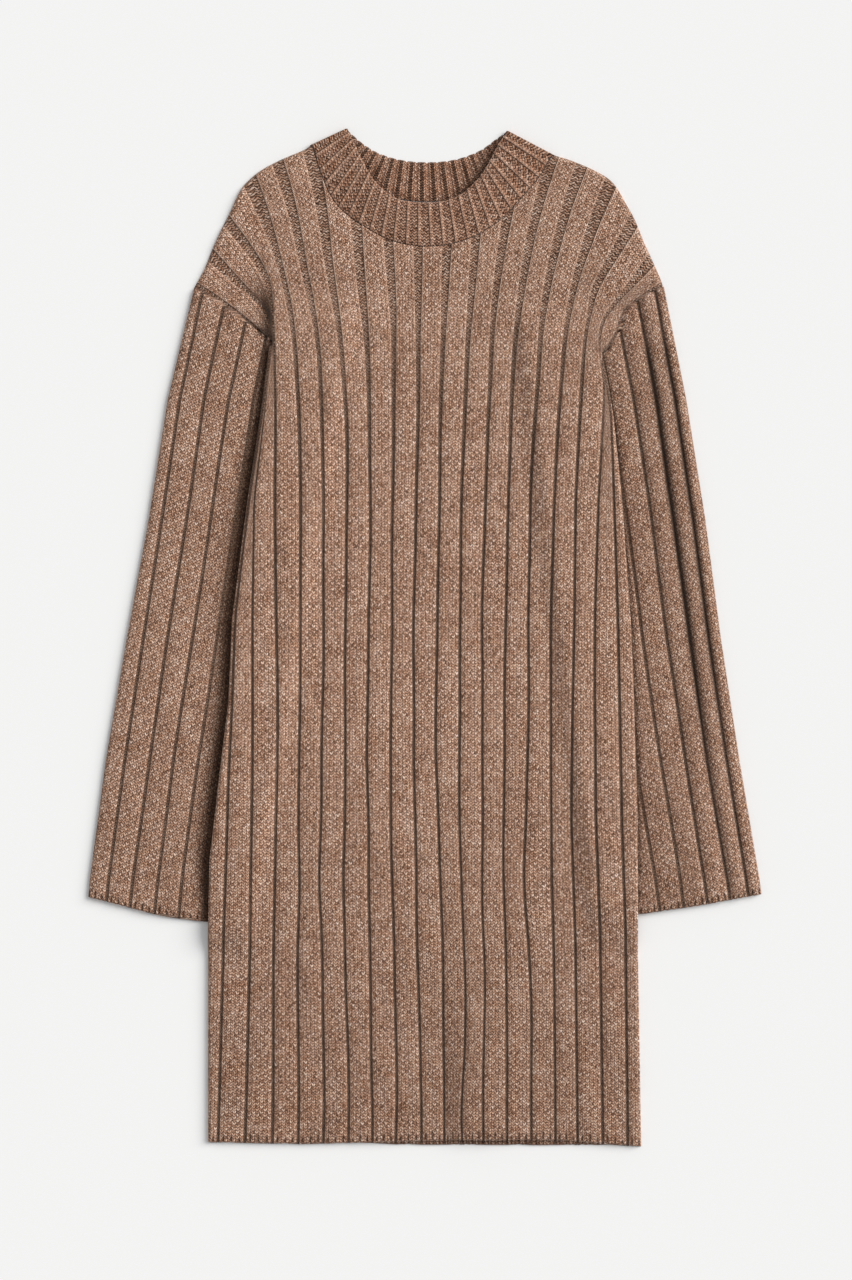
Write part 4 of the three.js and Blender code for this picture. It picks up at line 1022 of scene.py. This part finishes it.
    # The body's weight presses the sleeve down beside its fold, and little light reaches that place
    beside = (x - rib_x(-1 if side < 0 else GROOVES, y)) * side
    on_top = z > half
    below_armhole = 1 - soft(y, 246, 262)
    pressed = np.exp(-((beside / made["press"][0]) ** 2)) * below_armhole * on_top
    z = z - np.minimum(made["press"][1] * pressed, np.maximum(z - half - 0.9, 0))
    reach, deepest = made["shade"]
    wide_part = soft(above_cuff, 0, 60) * (1 - soft(y, 90, 240))
    near_body = np.maximum(beside, 0) / (reach * mix(0.45, 1, wide_part))
    near_body = np.minimum(np.exp(-near_body**2.2) + 0.14 * np.exp(-((near_body / 2.6) ** 2)), 1)
    # Painted shade: the sleeve's top is a little darker all over, and near the cuff more or less so across
    # it
    sleeve_shade = made["sleeve_shade"] + mix(*made["cuff_shade"], soft(inset, 30, 70)) * (1 - soft(y, -180, -40))
    shade = np.maximum(deepest * near_body * below_armhole, sleeve_shade + 0.95 * np.minimum(furrow_shade, 0.95)) * on_top
    cuff_round = quarter_round(above_cuff / 1.8)
    z = np.where(on_top, mix(half + (z - half) * 0.55, z, cuff_round), z)
    z = np.where(z > half + 1, z - 0.5 * np.exp(-(top - y) / 1.5), z)
    outer = np.stack([x, y + drawn_up(above_cuff, wale), z], -1)

    places = np.linspace(0, 1, 9)
    column_of = [round(mix(first_top - 1, first_top + top_count, t)) for t in places]
    column_of += [round(mix(first_under, total - 1, t)) for t in places]
    inner = np.zeros((len(y), len(column_of), 3))
    for i, column in enumerate(column_of):
        on_upper = i < len(places)
        t = places[i] if on_upper else places[len(column_of) - 1 - i]
        h = y[:, column].copy()
        h[-len(TOP_ROWS):] -= 1.5
        out_x, in_x = read(form, "outer", h), read(form, "inner", h)
        inner[:, i, 0] = mix(out_x - side * SIDE_WALL, in_x + side * SIDE_WALL, t)
        inner[:, i, 1] = h
        inner[:, i, 2] = TOP_INSIDE if on_upper else UNDER_LAYER
    marks = np.stack([wale, above_cuff / COURSE, 0.12 + 0 * y, ticks, shade], -1)
    sleeve = knit_wall(name, outer, inner, column_of, marks, marks[:, column_of], ring_wales=tube_wales)
    sleeve.data.materials.append(body_wool)
    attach(sleeve, "root")
    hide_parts(made["node"])

# The neckband. It is a ring of narrow rib linked to the neckline, soft at its free edge. Its two
# shoulder folds point up, the front stands a little off the back, and the back shows its inside.
BAND_FRONT_EDGE = [(-68.5, 441), (-62.5, 431), (-54.5, 413.5), (-41.5, 393), (-22.5, 379.5), (2.5, 376.5),
                   (27, 381.5), (46, 397.5), (55.5, 412), (64, 428.5), (72, 439)]
BAND_BACK_EDGE = [(-68.5, 441), (-54.5, 428.5), (-40.5, 420), (-21, 414), (3, 412), (27, 414.5),
                  (48.5, 422.5), (62.5, 432.5), (72, 439)]
BAND_RIBS = {"front": 24, "back": 19}
BAND_WALES = 3
BAND_WIDTH = 36
BAND_LIFT = 4.5
SAMPLES = 10  # columns to a rib
FOLD_STEPS = 9
FOLD_MARGIN = 2.9  # where each half ends before the shoulder fold
FOLD_IN = 1.6  # how far inside the fold's outermost line its middle lies
FOLD_TUCK = 1.8  # how far the fold reaches under the panels' shoulder seam
FOLD_SHADE = 0.28
BAND_GAP = 0.45


def band_half(face):
    """Points along the seam and the free edge of one half, evenly spaced on the band's middle line,
    and the two that the half ends at."""
    seam = curve(FRONT_NECK_SEAM if face == "front" else BACK_NECK_SEAM[::-1], 14)
    edge = curve(BAND_FRONT_EDGE if face == "front" else BAND_BACK_EDGE[::-1], 14)
    middle = (seam + edge) / 2
    length = np.concatenate([[0], np.cumsum(np.linalg.norm(np.diff(middle, axis=0), axis=1))])
    count = BAND_RIBS[face] * SAMPLES + 1
    along = np.linspace(FOLD_MARGIN, length[-1] - FOLD_MARGIN, count)
    seam_points, edge_points = (
        np.stack([np.interp(along, length, line[:, k]) for k in (0, 1)], -1) for line in (seam, edge))
    return seam_points, edge_points, along / length[-1], (seam[-1], edge[-1])


band_across = np.array([0, 0.015, 0.04, 0.1, 0.2, 0.32, 0.45, 0.58, 0.7, 0.8, 0.88, 0.94, 0.98, 1])
v = band_across[:, None]
edge_round = np.sqrt(1 - np.clip((v - 0.86) / 0.14, 0, 1) ** 2 * 0.95)
outer_parts, inner_parts, wale_parts, face_parts, shade_parts = [], [], [], [], []
wale_now = 0.0
for face, towards in (("front", 1), ("back", -1)):
    seam, edge, share, (tip_seam, tip_edge) = band_half(face)
    ribs_along = np.arange(len(share)) / SAMPLES
    rib_part = (ribs_along + 0.5) % 1
    from_crest = np.minimum(rib_part, 1 - rib_part)
    gap = BAND_GAP / np.linalg.norm(edge - seam, axis=1)
    if face == "front":
        crest = np.exp(-((from_crest / 0.12) ** 2)) * soft(v, 0.0, 0.08)
        dip = 0.35 * np.exp(-(((from_crest - 0.26) / 0.09) ** 2))
        lift = BAND_LIFT * np.sin(math.pi * share) ** 0.8 * v**1.5
        seam_round = np.sqrt(1 - np.clip(1 - v / 0.05, 0, 1) ** 2 * 0.6)
        puff = 1.0 * np.sin(math.pi * v) ** 0.7
        thick = (1.9 + puff + 0.9 * crest - dip) * edge_round * seam_round
        low, high = TOP_INSIDE + lift + 0 * thick, TOP_INSIDE + lift + thick
        outer_z, inner_z = high, low
        swell = 0.5 * crest * soft(v, 0.9, 1)
    else:
        crest = 1 - np.exp(-((from_crest / 0.12) ** 2))
        thick = (1.3 + 1.1 * crest) * edge_round
        outer_z, inner_z = 0 * thick, thick
        swell = 0.9 * (crest - 0.5) * soft(v, 0.9, 1)
    along = mix(gap, 1, v) + swell / np.linalg.norm(edge - seam, axis=1)
    x, y = (seam[:, k] + (edge[:, k] - seam[:, k]) * along for k in (0, 1))
    outer_parts.append(np.stack([x, y, outer_z], -1))
    inner_parts.append(np.stack([x, y, inner_z], -1))
    wale_parts.append(wale_now + ribs_along * BAND_WALES)
    face_parts.append(np.full(len(share), 1.0 if face == "front" else -1.0))
    shade_parts.append(np.zeros(len(share)))
    wale_now += BAND_RIBS[face] * BAND_WALES
    # The shoulder fold turns the band from front to back at +X, and from back to front at -X
    turn = np.linspace(math.pi / 2, -math.pi / 2, FOLD_STEPS + 2)[1:-1] * towards
    tip = tip_seam + (tip_edge - tip_seam) * mix(-FOLD_TUCK / np.linalg.norm(tip_edge - tip_seam), 1, v)
    middle = TOP_INSIDE - 0.3
    for radius, parts in ((middle + 0.9, outer_parts), (0.12, inner_parts)):
        out = np.cos(turn)[None] * min(radius, middle + 0.1)
        up = np.maximum(np.sin(turn)[None] * radius, -middle)
        x = tip[:, [0]] + towards * (out - FOLD_IN)
        parts.append(np.stack([x, tip[:, [1]] + 0 * x, middle + up + 0 * x], -1))
    wale_parts.append(wale_now + np.linspace(0, 1, FOLD_STEPS + 2)[1:-1] * BAND_WALES)
    face_parts.append(np.full(FOLD_STEPS, 1.0))
    shade_parts.append(np.full(FOLD_STEPS, FOLD_SHADE))
    wale_now += BAND_WALES
band_outer = np.concatenate(outer_parts, 1)
band_inner = np.concatenate(inner_parts, 1)
band_face = np.broadcast_to(np.concatenate(face_parts), band_outer.shape[:2])
band_courses = np.broadcast_to(v * BAND_WIDTH / COURSE, band_outer.shape[:2])
# The light comes from the right, so the standing front shades the back's inside beside it
near_front = np.min(np.linalg.norm(band_outer[:, :, None, :2] - curve(BAND_FRONT_EDGE, 3), axis=-1), -1)
shadow = 0.8 * np.exp(-((near_front / 9) ** 2)) * soft(band_outer[..., 0], 5, 40)
shadow = np.maximum(shadow, 0.35 * np.exp(-((near_front / 6) ** 2))) * (band_face < 0)
seam_shade = 0.35 * np.exp(-band_courses * COURSE / 1.2)
band_shade = np.maximum(np.maximum(shadow, np.concatenate(shade_parts)), seam_shade)
band_wale = np.broadcast_to(np.concatenate(wale_parts), band_courses.shape)
band_marks = np.stack([band_wale, band_courses, band_face, 0 * band_courses, band_shade], -1)
band_wool = melange_knit("heather_neck_rib", BAND_WALES, depth=(0.84, 0.72, 0.68), seed=40.0, recess_shade=0.3,
                         purl_half=1.15)
every_column = list(range(band_outer.shape[1]))
band = knit_wall("neck_band", band_outer, band_inner, every_column, band_marks, band_marks,
                 ring_wales=wale_now)
band.data.materials.append(band_wool)
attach(band, "root")
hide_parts("neckband")
